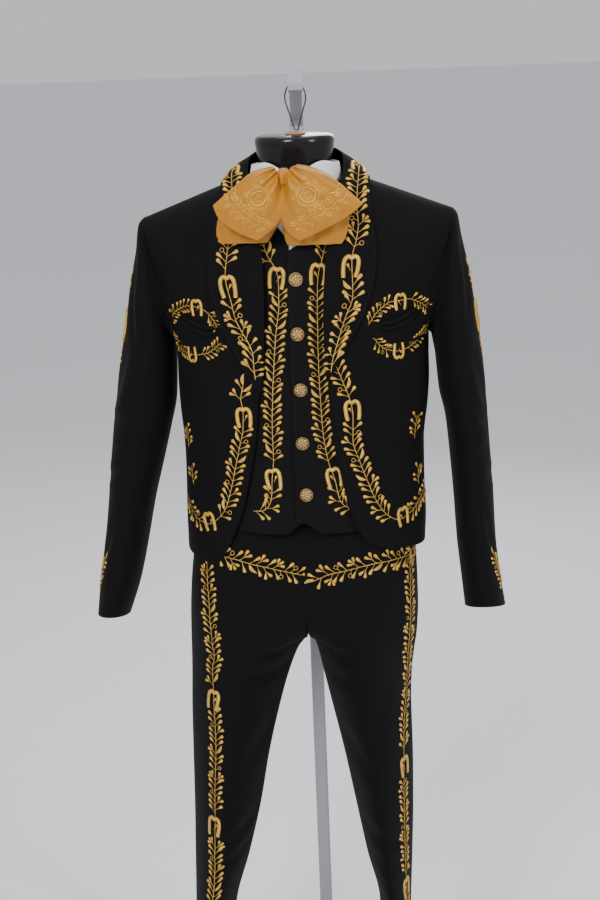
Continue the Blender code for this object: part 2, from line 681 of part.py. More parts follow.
def neck_ring(turn, grow, z):
    """Point of the ring round the neck: turn 0 in front, 90 at the wearer's left."""
    half, deep, mid = SHIRT_RING
    t = math.radians(turn)
    return np.array(((half + grow) * math.sin(t), mid - (deep + grow) * math.cos(t), z))


def stand_z(turn):
    """The neck seam dips in front."""
    return -0.016 * (0.5 + 0.5 * math.cos(math.radians(turn)))


def make_shirt():
    turns = np.linspace(2.0, 358.0, 29)
    heights = (1.532, 1.548, 1.560)
    outer = np.array([[neck_ring(t, 0.0, z + stand_z(t)) for t in turns] for z in heights])
    inner = np.array([[neck_ring(t, -WALL, z + stand_z(t)) for t in turns] for z in heights])
    wall("shirt_collar_stand", outer, inner, SHIRT_CLOTH)
    for side, word in ((1, "left"), (-1, "right")):
        turns = np.linspace(6.0, 179.5, 15)
        outer = []
        inner = []
        for share in (0.0, 0.5, 1.0):
            row_out = []
            row_in = []
            for t in turns:
                point_share = smooth(1.0 - (t - 6.0) / 60.0)
                fall = 0.026 + 0.016 * point_share
                top = 1.5605 + stand_z(t) * 0.9
                spread = 0.0022 + 0.0022 * share + 0.007 * point_share * share
                z = top - fall * share
                row_out.append(neck_ring(side * t, spread + WALL, z))
                row_in.append(neck_ring(side * t, spread, z))
            outer.append(row_out)
            inner.append(row_in)
        wall("shirt_collar_" + word, np.array(outer), np.array(inner), SHIRT_CLOTH)

    rows = [(1.395, 0.030), (1.420, 0.036), (1.445, 0.042), (1.470, 0.047), (1.495, 0.050), (1.512, 0.048)]
    across = [-1.0, -0.66, -0.33, 0.0, 0.33, 0.66, 1.0]
    outer = np.array([[front_point(u * w, z, SHIRT_OFF) for u in across] for z, w in rows])
    inner = np.array([[front_point(u * w, z, SHIRT_OFF - WALL) for u in across] for z, w in rows])
    wall("shirt_front", outer, inner, SHIRT_CLOTH)


# ---- bow ------------------------------------------------------------------------------------
def along_curve(points, t):
    """A place on a smooth curve through a short list of (x, z) points; t runs 0 to 1."""
    last = len(points) - 1
    place = min(max(t, 0.0), 1.0) * last
    k = min(last - 1, int(place))
    f = place - k
    a = np.array(points[max(k - 1, 0)])
    b = np.array(points[k])
    c = np.array(points[k + 1])
    d = np.array(points[min(k + 2, last)])
    return 0.5 * (2 * b + (c - a) * f + (2 * a - 5 * b + 4 * c - d) * f ** 2
                  + (3 * b - a - 3 * c + d) * f ** 3)


def lobe_plan(spec, reach, across):
    """Patch between the four edges of a lobe: reach 0 gather to 1 fold, across 0 upper to 1 inner."""
    upper = along_curve(spec["upper"], reach)
    inner = along_curve(spec["inner"], reach)
    gather = along_curve(spec["gather"], across)
    fold = along_curve(spec["fold"], across)
    a, b = np.array(spec["upper"][0]), np.array(spec["inner"][0])
    c, d = np.array(spec["upper"][-1]), np.array(spec["inner"][-1])
    flat = (a * (1 - across) + b * across) * (1 - reach) + (c * (1 - across) + d * across) * reach
    return upper * (1 - across) + inner * across + gather * (1 - reach) + fold * reach - flat


def lobe_surface(spec):
    """surface(across, along): along 0 at the gather, 1 at the fold, 2 back at the gather."""
    def surface(across, along):
        reach = 1.0 - abs(1.0 - along)
        x, z = lobe_plan(spec, reach, across)
        turn = math.cos(0.5 * math.pi * min(2.0, max(0.0, along)))
        turn = math.copysign(abs(turn) ** 0.6, turn)
        dome = math.sin(math.pi * min(1.0, reach) ** 0.9) ** 0.8
        dome *= max(0.0, 1.0 - (2.0 * across - 1.0) ** 2) ** 0.7
        half_gap = 0.0065 + (0.020 if along < 1.0 else 0.002) * dome
        ripple = 0.0018 * math.cos(6.0 * math.pi * across) * (1.0 - reach) ** 2
        return np.array((x, BOW_Y - half_gap * turn + ripple, z))
    return surface


def grid_normals(grid):
    du = np.gradient(grid, axis=1)
    dv = np.gradient(grid, axis=0)
    n = np.cross(du, dv)
    return n / np.linalg.norm(n, axis=2)[..., None]


def make_bow():
    for side, word in ((1, "left"), (-1, "right")):
        surface = lobe_surface(BOW_LOBES[word])
        across = np.linspace(0.0, 1.0, 8)
        along = [0.0, 0.16, 0.36, 0.58, 0.78, 0.92, 0.98, 1.02, 1.10, 1.35, 1.65, 1.95]
        outer = np.array([[surface(u, v) for u in across] for v in along])
        normals = grid_normals(outer)
        if normals[3, 4, 1] > 0.0:
            normals = -normals
        wall("bow_loop_" + word, outer, outer - normals * 0.0012, SATIN)

        rows = BOW_TAILS[word]
        outer = []
        for z, far, near in rows:
            line = []
            for u in np.linspace(0.0, 1.0, 7):
                y = BOW_Y + 0.0180 + 0.0015 * math.cos(4.0 * math.pi * u)
                line.append((near + (far - near) * u, y, z))
            outer.append(line)
        outer = np.array(outer)
        wall("bow_tail_" + word, outer, outer + np.array((0.0, 0.0028, 0.0)), SATIN_DARK)

    rings = []
    x, z = BOW_KNOT
    for share, lift in ((0.30, -0.0130), (0.80, -0.0118), (1.0, -0.006), (1.0, 0.0),
                        (1.0, 0.006), (0.80, 0.0118), (0.30, 0.0130)):
        ring = []
        for j in range(14):
            a = 2.0 * math.pi * j / 14
            c = math.copysign(abs(math.cos(a)) ** 0.7, math.cos(a))
            s = math.copysign(abs(math.sin(a)) ** 0.7, math.sin(a))
            ring.append((x + 0.0075 * share * c, BOW_Y - 0.002 + 0.0120 * share * s, z + lift))
        rings.append(ring)
    tube("bow_knot", rings, SATIN)

    turns = np.linspace(18.0, 342.0, 25)
    heights = (1.531, 1.541)
    outer = np.array([[neck_ring(t, 0.0018, z + stand_z(t)) for t in turns] for z in heights])
    inner = np.array([[neck_ring(t, 0.0006, z + stand_z(t)) for t in turns] for z in heights])
    wall("bow_neckband", outer, inner, SATIN_DARK)


# ---- trousers -------------------------------------------------------------------------------
def leg_value(z, name):
    return read(LEGS, LEG_COLUMNS, z, name)


def leg_point(side, face, u, z, inset):
    """A point of a trouser quarter: u 0 on the inner edge, 0.5 on the crease, 1 on the side seam."""
    word = "left" if side > 0 else "right"
    out_x = leg_value(z, "out_" + word) - inset
    in_x = leg_value(z, "in_" + word)
    deep = leg_value(z, "front" if face < 0 else "back") - inset
    above = z - CROTCH_Z
    if above <= 0.0:
        open_share = 0.0
        in_x += inset
    else:
        open_share = math.sqrt(max(0.0, 1.0 - (1.0 - min(1.0, above / CROTCH_RISE)) ** 2))
        in_x += SEAM
    crease = in_x + (out_x - in_x) * (0.50 - 0.04 * smooth(above / 0.1))
    flat = 0.90 + 0.06 * smooth(above / 0.1)
    if u <= 0.5:
        t = u / 0.5
        x = in_x + (crease - in_x) * t
        start = deep * 0.97 * open_share
        y = start + (deep - start) * math.sin(0.5 * math.pi * t) ** flat
    else:
        t = (u - 0.5) / 0.5
        power = 1.55 + 0.75 * smooth((z - 0.75) / 0.2)
        x = crease + (out_x - crease) * t
        y = deep * max(0.0, 1.0 - t ** power) ** (1.0 / power)
    return (side * x, face * (y + SEAM), z)


def make_trousers():
    lengths = {
        "shin": [0.040, 0.13, 0.20, 0.27, 0.34, 0.436 - SEAM],
        "thigh": [0.436 + SEAM, 0.528, 0.619, 0.707, 0.760 - SEAM],
        "hip": [0.760 + SEAM, 0.800, 0.8255, 0.8275, 0.836, 0.852, 0.878, 0.911, 0.950, 0.990, 1.036],
    }
    across = [0.0, 0.12, 0.30, 0.5, 0.66, 0.82, 0.94, 1.0]
    for side, word in ((1, "left"), (-1, "right")):
        for face, part in ((-1, "front"), (1, "back")):
            for place, heights in lengths.items():
                outer = np.array([[leg_point(side, face, u, z, 0.0) for u in across] for z in heights])
                inner = np.array([[leg_point(side, face, u, z, WALL) for u in across] for z in heights])
                wall("trousers_" + part + "_" + word + "_" + place, outer, inner, CLOTH)

    outer = []
    inner = []
    for z in BAND_Z:
        row_out = []
        row_in = []
        for turn in np.linspace(1.0, 359.0, 29):
            row_out.append(band_point(turn, z, 0.0))
            row_in.append(band_point(turn, z, WALL))
        outer.append(row_out)
        inner.append(row_in)
    wall("trousers_waistband", np.array(outer), np.array(inner), CLOTH)


def band_point(turn, z, inset):
    """A point of the waistband: turn 0 in front, 90 at the wearer's left."""
    t = math.radians(turn)
    s, c = math.sin(t), math.cos(t)
    half = (0.157 if s > 0 else 0.166) - inset - 0.10 * (z - BAND_Z[0])
    deep = (0.102 if c > 0 else 0.096) - inset - 0.05 * (z - BAND_Z[0])
    x = half * math.copysign(abs(s) ** 0.87, s)
    y = -deep * math.copysign(abs(c) ** 0.87, c)
    return (x, y, z)


# ---- dress form and stand -------------------------------------------------------------------
def make_form():
    rings = []
    for z, half, deep, power in FORM:
        ring = []
        for j in range(40):
            t = 2.0 * math.pi * j / 40
            c = math.copysign(abs(math.cos(t)) ** (2.0 / power), math.cos(t))
            s = math.copysign(abs(math.sin(t)) ** (2.0 / power), math.sin(t))
            ring.append((half * s, -deep * c, z))
        rings.append(ring)
    tube("form_torso", rings, GLOSS_BLACK)

    rings = []
    for radius, z in ((0.0140, 1.6015), (0.0150, 1.6025), (0.0145, 1.6040), (0.0110, 1.6048)):
        rings.append([(0.002 + radius * math.cos(0.1 * math.pi * j), radius * math.sin(0.1 * math.pi * j), z)
                      for j in range(20)])
    tube("form_neck_plug", rings, WOOD)


LOOP_MIDDLE = (0.0030, 0.0080)       # x and y of the wire loop
LOOP_PATH = [(0.0020, 1.6068), (0.0060, 1.6200), (0.0110, 1.6360), (0.0147, 1.6480), (0.0152, 1.6560),
             (0.0134, 1.6630), (0.0110, 1.6675), (0.0088, 1.6702), (0.0040, 1.6712), (0.0, 1.6714)]
LOOP_WIRE = 0.0011


def make_wire_loop():
    """A closed loop of wire standing in the plane of the shoulders."""
    right = [(x, z) for x, z in LOOP_PATH]
    left = [(-x, z) for x, z in LOOP_PATH[-2::-1]]
    path = [Vector((x + LOOP_MIDDLE[0], LOOP_MIDDLE[1], z)) for x, z in right + left]
    rings = []
    count = len(path)
    for k, p in enumerate(path):
        along = (path[(k + 1) % count] - path[k - 1]).normalized()
        across = Vector((0.0, 1.0, 0.0))
        out = along.cross(across)
        rings.append([p + (across * math.cos(a) + out * math.sin(a)) * LOOP_WIRE
                      for a in [2.0 * math.pi * j / 8 for j in range(8)]])
    tube("form_wire_loop", rings, DARK_WIRE, closed_path=True)


def hook_x(y):
    """The hook leans a little to the wearer's left as it reaches forward."""
    return POLE_X + (POLE_Y - y) * 0.055


def strip_along(name, path, width, thick, look, end_shares):
    """A flat strip following a path of (y, z) places; end_shares sets its width along the way."""
    rings = []
    for k, (y, z) in enumerate(path):
        before = Vector(path[max(k - 1, 0)])
        after = Vector(path[min(k + 1, len(path) - 1)])
        along = (after - before).normalized()
        normal = Vector((-along.y, along.x)) * (0.5 * thick)
        half = 0.5 * width * end_shares[k]
        x = hook_x(y)
        rings.append([(x - half, y + normal.x, z + normal.y), (x + half, y + normal.x, z + normal.y),
                      (x + half, y - normal.x, z - normal.y), (x - half, y - normal.x, z - normal.y)])
    return tube(name, rings, look)


def make_stand():
    half = 0.5 * POLE_SIDE
    edge = 0.0025
    outline = [(half - edge, -half), (half, -half + edge), (half, half - edge), (half - edge, half),
               (-half + edge, half), (-half, half - edge), (-half, -half + edge), (-half + edge, -half)]
    rings = [[(POLE_X + x, POLE_Y + y, z) for x, y in outline]
             for z in (BASE_THICK + BASE_CLEAR, 0.8, POLE_TOP)]
    tube("stand_pole", rings, GREY_PAINT)

    rings = []
    for radius, z in ((BASE_RADIUS - 0.001, 0.0), (BASE_RADIUS, 0.001),
                      (BASE_RADIUS, BASE_THICK - 0.0015), (BASE_RADIUS - 0.002, BASE_THICK)):
        rings.append([(radius * math.cos(math.pi * j / 32), radius * math.sin(math.pi * j / 32), z)
                      for j in range(64)])
    tube("stand_base", rings, GREY_PAINT)

    start_y = POLE_Y - half - 0.5 * HOOK_THICK - 0.0003
    path = [(start_y, 1.560), (start_y, 1.606), (start_y - 0.006, 1.616), (start_y - 0.018, 1.622),
            (0.036, 1.6560), (0.020, 1.6640), (0.008, 1.6670), (-0.003, 1.6635), (-0.0100, 1.6618),
            (-0.0148, 1.6650), (-0.0160, 1.6740), (-0.0160, 1.6860), (-0.0160, 1.6950), (-0.0160, 1.6990)]
    shares_here = [0.86] * 4 + [0.86, 0.66, 0.60, 0.66, 0.90, 0.98, 1.0, 1.0, 0.92, 0.55]
    strip_along("stand_hook", path, HOOK_WIDTH, HOOK_THICK, GREY_PAINT, shares_here)
    for k, z in enumerate((1.572, 1.594)):
        rings = []
        y = start_y - 0.5 * HOOK_THICK - 0.0003
        for radius, depth in ((0.0034, 0.0), (0.0036, 0.0008), (0.0030, 0.0019), (0.0016, 0.0024)):
            rings.append([(POLE_X + radius * math.cos(math.pi * j / 6), y - depth,
                           z + radius * math.sin(math.pi * j / 6)) for j in range(12)])
        tube("stand_screw_%d" % (k + 1), rings, DARK_WIRE)


def centre_on_floor():
    """Move everything so the middle of the whole lies over the origin and it stands on z = 0."""
    low = np.full(3, 1e9)
    high = np.full(3, -1e9)
    pieces = [o for o in bpy.context.scene.objects if o.type == "MESH"]
    for piece in pieces:
        for vertex in piece.data.vertices:
            low = np.minimum(low, vertex.co)
            high = np.maximum(high, vertex.co)
    shift = Vector((-0.5 * (low[0] + high[0]), -0.5 * (low[1] + high[1]), -low[2]))
    for piece in pieces:
        for vertex in piece.data.vertices:
            vertex.co += shift
    print("moved by", tuple(round(v, 5) for v in shift))


def main():
    for item in list(bpy.data.objects):
        bpy.data.objects.remove(item, do_unlink=True)
    make_jacket_body()
    make_sleeves()
    make_collar()
    make_pockets()
    make_vest()
    make_buttons()
    make_shirt()
    make_bow()
    make_trousers()
    make_form()
    make_wire_loop()
    make_stand()
    centre_on_floor()


main()
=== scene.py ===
# Looks of the charro suit: fine cloth shells, raised embroidery, bow, buttons, form and stand.
# Metres, +Z up, the front faces -Y. Shapes are worked out in the suit's own frame, with the
# button line at x = 0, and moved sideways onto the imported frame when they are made.
import json
import math

import bpy
import numpy as np
from mathutils import Matrix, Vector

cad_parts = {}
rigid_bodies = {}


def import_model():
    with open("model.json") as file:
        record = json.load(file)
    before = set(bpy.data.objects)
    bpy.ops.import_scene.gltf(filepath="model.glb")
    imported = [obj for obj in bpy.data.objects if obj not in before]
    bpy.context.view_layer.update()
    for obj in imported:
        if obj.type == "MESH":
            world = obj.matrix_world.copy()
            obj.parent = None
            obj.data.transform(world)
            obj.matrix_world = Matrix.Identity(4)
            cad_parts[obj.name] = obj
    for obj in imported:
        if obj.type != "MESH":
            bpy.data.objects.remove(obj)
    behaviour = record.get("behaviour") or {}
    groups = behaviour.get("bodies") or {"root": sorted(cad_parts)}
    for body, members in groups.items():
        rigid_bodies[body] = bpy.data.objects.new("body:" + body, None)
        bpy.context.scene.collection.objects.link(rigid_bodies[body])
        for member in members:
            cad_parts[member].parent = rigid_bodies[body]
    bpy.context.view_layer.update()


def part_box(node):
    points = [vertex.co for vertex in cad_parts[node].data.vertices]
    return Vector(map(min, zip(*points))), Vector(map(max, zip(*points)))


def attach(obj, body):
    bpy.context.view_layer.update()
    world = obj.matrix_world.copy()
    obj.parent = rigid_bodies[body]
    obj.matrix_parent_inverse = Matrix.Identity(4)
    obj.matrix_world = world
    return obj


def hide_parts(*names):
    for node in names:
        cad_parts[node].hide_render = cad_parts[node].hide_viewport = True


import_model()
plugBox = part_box("form_neck_plug")
plugX = 0.002                       # where the plug's middle lies in the suit's own frame
shiftX = 0.5 * (plugBox[0][0] + plugBox[1][0]) - plugX

# cut of the suit: the same tables as the solids
wallThick = 0.0018
seamGap = 0.0002
armZ = 1.310
ridgeY = 0.005
neckX = 0.090
neckZ = 1.540
shoulderFall = 0.377
topHalf = 0.262
collarOff = 0.0046
vestOff = -0.0070
shirtOff = -0.0120

bodyColumns = ("z", "left", "right", "front", "back", "power")
bodyTable = [
    (0.955, 0.178, 0.189, 0.128, 0.121, 2.40),
    (1.030, 0.181, 0.188, 0.125, 0.118, 2.40),
    (1.090, 0.180, 0.186, 0.118, 0.110, 2.40),
    (1.140, 0.180, 0.185, 0.115, 0.107, 2.40),
    (1.200, 0.186, 0.187, 0.118, 0.111, 2.45),
    (1.250, 0.189, 0.188, 0.120, 0.115, 2.50),
    (1.310, 0.190, 0.189, 0.118, 0.117, 2.50),
]
edgeColumns = ("z", "left", "right")
frontEdge = [
    (1.000, 0.094, 0.119), (1.030, 0.081, 0.106), (1.060, 0.069, 0.094),
    (1.095, 0.061, 0.084), (1.130, 0.053, 0.076), (1.170, 0.047, 0.068),
    (1.220, 0.043, 0.062), (1.265, 0.042, 0.057), (1.310, 0.044, 0.053),
]
armholeColumns = ("angle", "front", "back")
armholeTable = [
    (0.0, 0.1890, 0.1890), (11.25, 0.1850, 0.1880), (22.5, 0.1970, 0.1980), (33.75, 0.2080, 0.2080),
    (45.0, 0.2165, 0.2165), (56.25, 0.2220, 0.2220), (67.5, 0.2250, 0.2250), (90.0, 0.2265, 0.2265),
]
sleeveColumns = ("outerX", "outerZ", "innerX", "innerZ", "midY", "half", "power", "lift")
sleeveTables = {
    -1: [
        (0.2355, 1.4800, 0.1925, 1.3030, 0.004, 0.066, 2.0, 0.000),
        (0.2410, 1.4430, 0.1930, 1.2880, 0.004, 0.076, 2.1, 0.000),
        (0.2530, 1.3850, 0.1935, 1.2680, 0.004, 0.081, 2.2, 0.000),
        (0.2660, 1.3200, 0.1945, 1.2440, 0.005, 0.081, 2.2, 0.000),
        (0.2800, 1.2540, 0.1970, 1.2120, 0.006, 0.079, 2.2, 0.000),
        (0.2920, 1.1880, 0.2070, 1.1700, 0.006, 0.076, 2.2, 0.000),
        (0.3015, 1.1200, 0.2220, 1.1140, 0.003, 0.073, 2.2, 0.000),
        (0.3090, 1.0560, 0.2390, 1.0520, -0.002, 0.070, 2.2, 0.003),
        (0.3190, 0.9850, 0.2540, 0.9830, -0.010, 0.067, 2.1, 0.006),
        (0.3290, 0.9260, 0.2690, 0.9240, -0.017, 0.064, 2.1, 0.010),
        (0.3350, 0.8760, 0.2880, 0.8720, -0.023, 0.060, 2.1, 0.014),
    ],
    1: [
        (0.2345, 1.4800, 0.1935, 1.3030, 0.004, 0.066, 2.0, 0.000),
        (0.2410, 1.4430, 0.1960, 1.2900, 0.004, 0.076, 2.1, 0.000),
        (0.2530, 1.3850, 0.1990, 1.2720, 0.004, 0.082, 2.2, 0.000),
        (0.2630, 1.3200, 0.2010, 1.2500, 0.005, 0.083, 2.2, 0.000),
        (0.2710, 1.2540, 0.2040, 1.2180, 0.006, 0.082, 2.2, 0.000),
        (0.2760, 1.1880, 0.2130, 1.1760, 0.006, 0.080, 2.2, 0.000),
        (0.2805, 1.1200, 0.2190, 1.1160, 0.003, 0.077, 2.2, 0.000),
        (0.2845, 1.0560, 0.2240, 1.0520, -0.002, 0.073, 2.2, 0.003),
        (0.2875, 0.9850, 0.2280, 0.9830, -0.010, 0.069, 2.1, 0.007),
        (0.2940, 0.9260, 0.2340, 0.9240, -0.017, 0.065, 2.1, 0.012),
        (0.3010, 0.8780, 0.2390, 0.8760, -0.023, 0.060, 2.1, 0.018),
    ],
}
sleeveSeams = (104.5, 255.5)
shawlTables = {                     # roll x, roll z, edge x, edge z, from the tip to the neck
    1: [
        (0.0400, 1.2620, 0.0490, 1.2700), (0.0395, 1.2850, 0.0640, 1.3000), (0.0390, 1.3150, 0.0820, 1.3280),
        (0.0390, 1.3450, 0.0960, 1.3540), (0.0400, 1.3750, 0.1060, 1.3800), (0.0420, 1.4050, 0.1130, 1.4080),
        (0.0450, 1.4350, 0.1160, 1.4370), (0.0500, 1.4650, 0.1140, 1.4660), (0.0570, 1.4950, 0.1110, 1.4930),
        (0.0650, 1.5200, 0.1090, 1.5150),
    ],
    -1: [
        (0.0550, 1.2480, 0.0660, 1.2560), (0.0520, 1.2800, 0.0840, 1.2900), (0.0500, 1.3120, 0.1000, 1.3200),
        (0.0480, 1.3440, 0.1130, 1.3500), (0.0470, 1.3750, 0.1220, 1.3790), (0.0470, 1.4050, 0.1270, 1.4080),
        (0.0480, 1.4350, 0.1270, 1.4370), (0.0520, 1.4650, 0.1220, 1.4660), (0.0580, 1.4950, 0.1150, 1.4930),
        (0.0650, 1.5200, 0.1100, 1.5150),
    ],
}
shawlNeck = [                       # roll x, y, z, edge x, y, z, from the shoulder to the middle of the back
    (0.0700, -0.0200, 1.5490, 0.1080, -0.0150, 1.5395), (0.0710, 0.0080, 1.5650, 0.1060, 0.0220, 1.5370),
    (0.0640, 0.0360, 1.5740, 0.0940, 0.0530, 1.5270), (0.0460, 0.0580, 1.5790, 0.0690, 0.0750, 1.5160),
    (0.0240, 0.0700, 1.5810, 0.0360, 0.0850, 1.5090), (0.0002, 0.0730, 1.5815, 0.0002, 0.0880, 1.5070),
]
vestNeck = [(1.432, 0.0), (1.455, 0.017), (1.480, 0.036), (1.505, 0.055), (1.525, 0.069), (1.540, 0.0745)]
vestLow = [(0.0, 1.046), (0.008, 1.043), (0.031, 1.029), (0.060, 1.0295), (0.110, 1.033), (0.190, 1.055)]
vestArm = [(0.0, 0.1760), (15.0, 0.1560), (45.0, 0.1480), (75.0, 0.1500), (90.0, 0.1520)]
vestLap = 0.012
legColumns = ("z", "outRight", "inRight", "outLeft", "inLeft", "front", "back")
legTable = [
    (0.040, 0.2250, 0.1700, 0.1420, 0.0920, 0.088, 0.094),
    (0.200, 0.2200, 0.1600, 0.1430, 0.0930, 0.088, 0.094),
    (0.340, 0.2150, 0.1470, 0.1460, 0.0940, 0.089, 0.095),
    (0.436, 0.2110, 0.1200, 0.1500, 0.0750, 0.090, 0.096),
    (0.528, 0.2070, 0.0970, 0.1530, 0.0590, 0.091, 0.097),
    (0.619, 0.2040, 0.0790, 0.1540, 0.0430, 0.093, 0.099),
    (0.707, 0.2010, 0.0570, 0.1530, 0.0250, 0.095, 0.102),
    (0.760, 0.1980, 0.0410, 0.1550, 0.0140, 0.097, 0.106),
    (0.800, 0.1960, 0.0250, 0.1600, 0.0060, 0.099, 0.110),
    (0.826, 0.1950, 0.0080, 0.1640, -0.0020, 0.101, 0.112),
    (0.880, 0.1920, 0.0050, 0.1670, -0.0050, 0.105, 0.114),
    (0.940, 0.1860, 0.0050, 0.1660, -0.0050, 0.108, 0.107),
    (0.985, 0.1790, 0.0040, 0.1640, -0.0040, 0.108, 0.100),
    (1.036, 0.1680, 0.0030, 0.1590, -0.0030, 0.103, 0.096),
]
crotchZ = 0.826
crotchRise = 0.085
bandZ = (1.0366, 1.076)
hemZ = {1: 0.998, -1: 0.977}
backHemZ = 0.985
cornerRise = 0.036
napeRadius = 0.0700
formTable = [
    (0.905, 0.120, 0.070, 2.2), (0.930, 0.136, 0.080, 2.2), (1.000, 0.140, 0.082, 2.2),
    (1.080, 0.130, 0.076, 2.2),
    (1.150, 0.132, 0.078, 2.2), (1.250, 0.150, 0.088, 2.3), (1.330, 0.158, 0.090, 2.4),
    (1.400, 0.158, 0.080, 2.4),
    (1.445, 0.142, 0.066, 2.3), (1.475, 0.108, 0.056, 2.2), (1.500, 0.074, 0.051, 2.1),
    (1.520, 0.057, 0.050, 2.0),
    (1.545, 0.0525, 0.050, 2.0), (1.575, 0.0555, 0.053, 2.0), (1.594, 0.0580, 0.055, 2.0),
    (1.5995, 0.0560, 0.053, 2.0), (1.6012, 0.0500, 0.047, 2.0),
]
sideWords = {1: "left", -1: "right"}


# curves and grids
def throughPoints(xs, ys, at):
    # a smooth curve through the rows of a table that never overshoots them
    xs = np.asarray(xs, float)
    ys = np.asarray(ys, float)
    tall = ys if ys.ndim > 1 else ys[:, None]
    gap = np.diff(xs)
    slope = np.diff(tall, axis=0) / gap[:, None]
    lean = np.zeros_like(tall)
    lean[0], lean[-1] = slope[0], slope[-1]
    before, after = slope[:-1], slope[1:]
    same = before * after > 0.0
    total = np.where(same, before + after, 1.0)
    lean[1:-1] = np.where(same, 2.0 * before * after / total, 0.0)
    place = np.clip(np.asarray(at, float), xs[0], xs[-1])
    k = np.clip(np.searchsorted(xs, place, side="right") - 1, 0, len(gap) - 1)
    t = ((place - xs[k]) / gap[k])[..., None]
    step = gap[k][..., None]
    value = ((2 * t ** 3 - 3 * t ** 2 + 1) * tall[k] + (t ** 3 - 2 * t ** 2 + t) * step * lean[k]
             + (3 * t ** 2 - 2 * t ** 3) * tall[k + 1] + (t ** 3 - t ** 2) * step * lean[k + 1])
    return value if ys.ndim > 1 else value[..., 0]


def column(table, columns, name, at):
    k = columns.index(name)
    return throughPoints([row[0] for row in table], [row[k] for row in table], at)


def pairs(table, at):
    return throughPoints([row[0] for row in table], [row[1] for row in table], at)


def smoothStep(t):
    t = np.clip(t, 0.0, 1.0)
    return t * t * (3.0 - 2.0 * t)


def stack(x, y, z):
    x, y, z = np.broadcast_arrays(x, y, z)
    return np.stack([x, y, z], axis=-1).astype(float)


def normalsOf(grid, away):
    # unit normals of a grid, turned to point away from a middle point or line
    across = np.gradient(grid, axis=1)
    down = np.gradient(grid, axis=0)
    n = np.cross(across, down)
    n /= np.maximum(np.linalg.norm(n, axis=2), 1e-12)[..., None]
    if np.sum((grid - away) * n) < 0.0:
        n = -n
    return n


def foldHeight(p, q, folds):
    # soft troughs (depth below zero) and ridges: start, end, half width, height, bow sideways
    height = np.zeros(np.broadcast(p, q).shape)
    for p0, q0, p1, q1, width, rise, sag in folds:
        dp, dq = p1 - p0, q1 - q0
        long = math.hypot(dp, dq)
        t = ((p - p0) * dp + (q - q0) * dq) / long ** 2
        off = ((q - q0) * dp - (p - p0) * dq) / long - sag * 4.0 * t * (1.0 - t)
        inside = np.clip(1.0 - np.abs(2.0 * t - 1.0) ** 2.6, 0.0, 1.0)
        d = np.abs(off) / width
        height += rise * inside * (np.exp(-d ** 2) - 0.42 * np.exp(-(d - 2.0) ** 2))
    return height


def lengthsAlong(grid, axis):
    steps = np.linalg.norm(np.diff(grid, axis=axis), axis=2)
    pad = [(0, 0), (0, 0)]
    pad[axis] = (1, 0)
    return np.cumsum(np.pad(steps, pad), axis=axis)


# mesh makers
def meshPiece(name, points, faces, finish, uv=None):
    points = np.asarray(points, float) + np.array((shiftX, 0.0, 0.0))
    mesh = bpy.data.meshes.new(name)
    mesh.from_pydata(points.tolist(), [], faces)
    mesh.validate()
    mesh.materials.append(finish)
    if uv is not None:
        layer = mesh.uv_layers.new(name="clothMap")
        corners = np.empty(len(mesh.loops), np.int32)
        mesh.loops.foreach_get("vertex_index", corners)
        layer.data.foreach_set("uv", np.asarray(uv, float)[corners].astype(np.float32).ravel())
    mesh.shade_smooth()
    mesh.update()
    piece = bpy.data.objects.new(name, mesh)
    bpy.context.scene.collection.objects.link(piece)
    return piece


def gridFaces(rows, cols, start=0, flip=False):
    faces = []
    for i in range(rows - 1):
        for j in range(cols - 1):
            a = start + i * cols + j
            quad = (a, a + 1, a + cols + 1, a + cols)
            faces.append(quad[::-1] if flip else quad)
    return faces


def shell(name, grid, finish, away, thick=wallThick, normals=None):
    # a sheet with a rounded edge: outer face, inner face and a bulging rim between them
    rows, cols = grid.shape[:2]
    n = normalsOf(grid, away) if normals is None else normals
    inner = grid - n * thick
    across, down = lengthsAlong(grid, 1), lengthsAlong(grid, 0)
    uv = np.stack([across - across.mean(axis=1, keepdims=True), down], axis=-1).reshape(-1, 2)
    rim = [(0, j) for j in range(cols)] + [(i, cols - 1) for i in range(1, rows)]
    rim += [(rows - 1, j) for j in range(cols - 2, -1, -1)] + [(i, 0) for i in range(rows - 2, 0, -1)]
    index = np.array([i * cols + j for i, j in rim])
    flatOuter, flatInner = grid.reshape(-1, 3), inner.reshape(-1, 3)
    middle = grid[rows // 2, cols // 2]
    facing = np.cross(grid[0, 1] - grid[0, 0], grid[1, 0] - grid[0, 0])
    flip = np.dot(facing, n[0, 0]) < 0.0
    edge = flatOuter[index]
    along = np.roll(edge, -1, axis=0) - np.roll(edge, 1, axis=0)
    out = np.cross(along, n.reshape(-1, 3)[index])
    out /= np.maximum(np.linalg.norm(out, axis=1), 1e-12)[:, None]
    out *= -1.0 if flip else 1.0
    out *= 1.0 if np.sum(out * (edge - middle)) > 0.0 else -1.0
    bulge = 0.5 * (edge + flatInner[index]) + out * thick * 0.32
    count = rows * cols
    points = np.concatenate([flatOuter, flatInner, bulge])
    faces = gridFaces(rows, cols, 0, flip) + gridFaces(rows, cols, count, not flip)
    for k, a in enumerate(index):
        b = index[(k + 1) % len(index)]
        m, nextM = 2 * count + k, 2 * count + (k + 1) % len(index)
        first, second = (a, m, nextM, b), (m, count + a, count + b, nextM)
        faces.append(first[::-1] if flip else first)
        faces.append(second[::-1] if flip else second)
    piece = meshPiece(name, points, faces, finish, np.concatenate([uv, uv, uv[index]]))
    piece["sheetWidth"] = float(across[:, -1].max())
    piece["sheetLength"] = float(down[-1].max())
    return piece


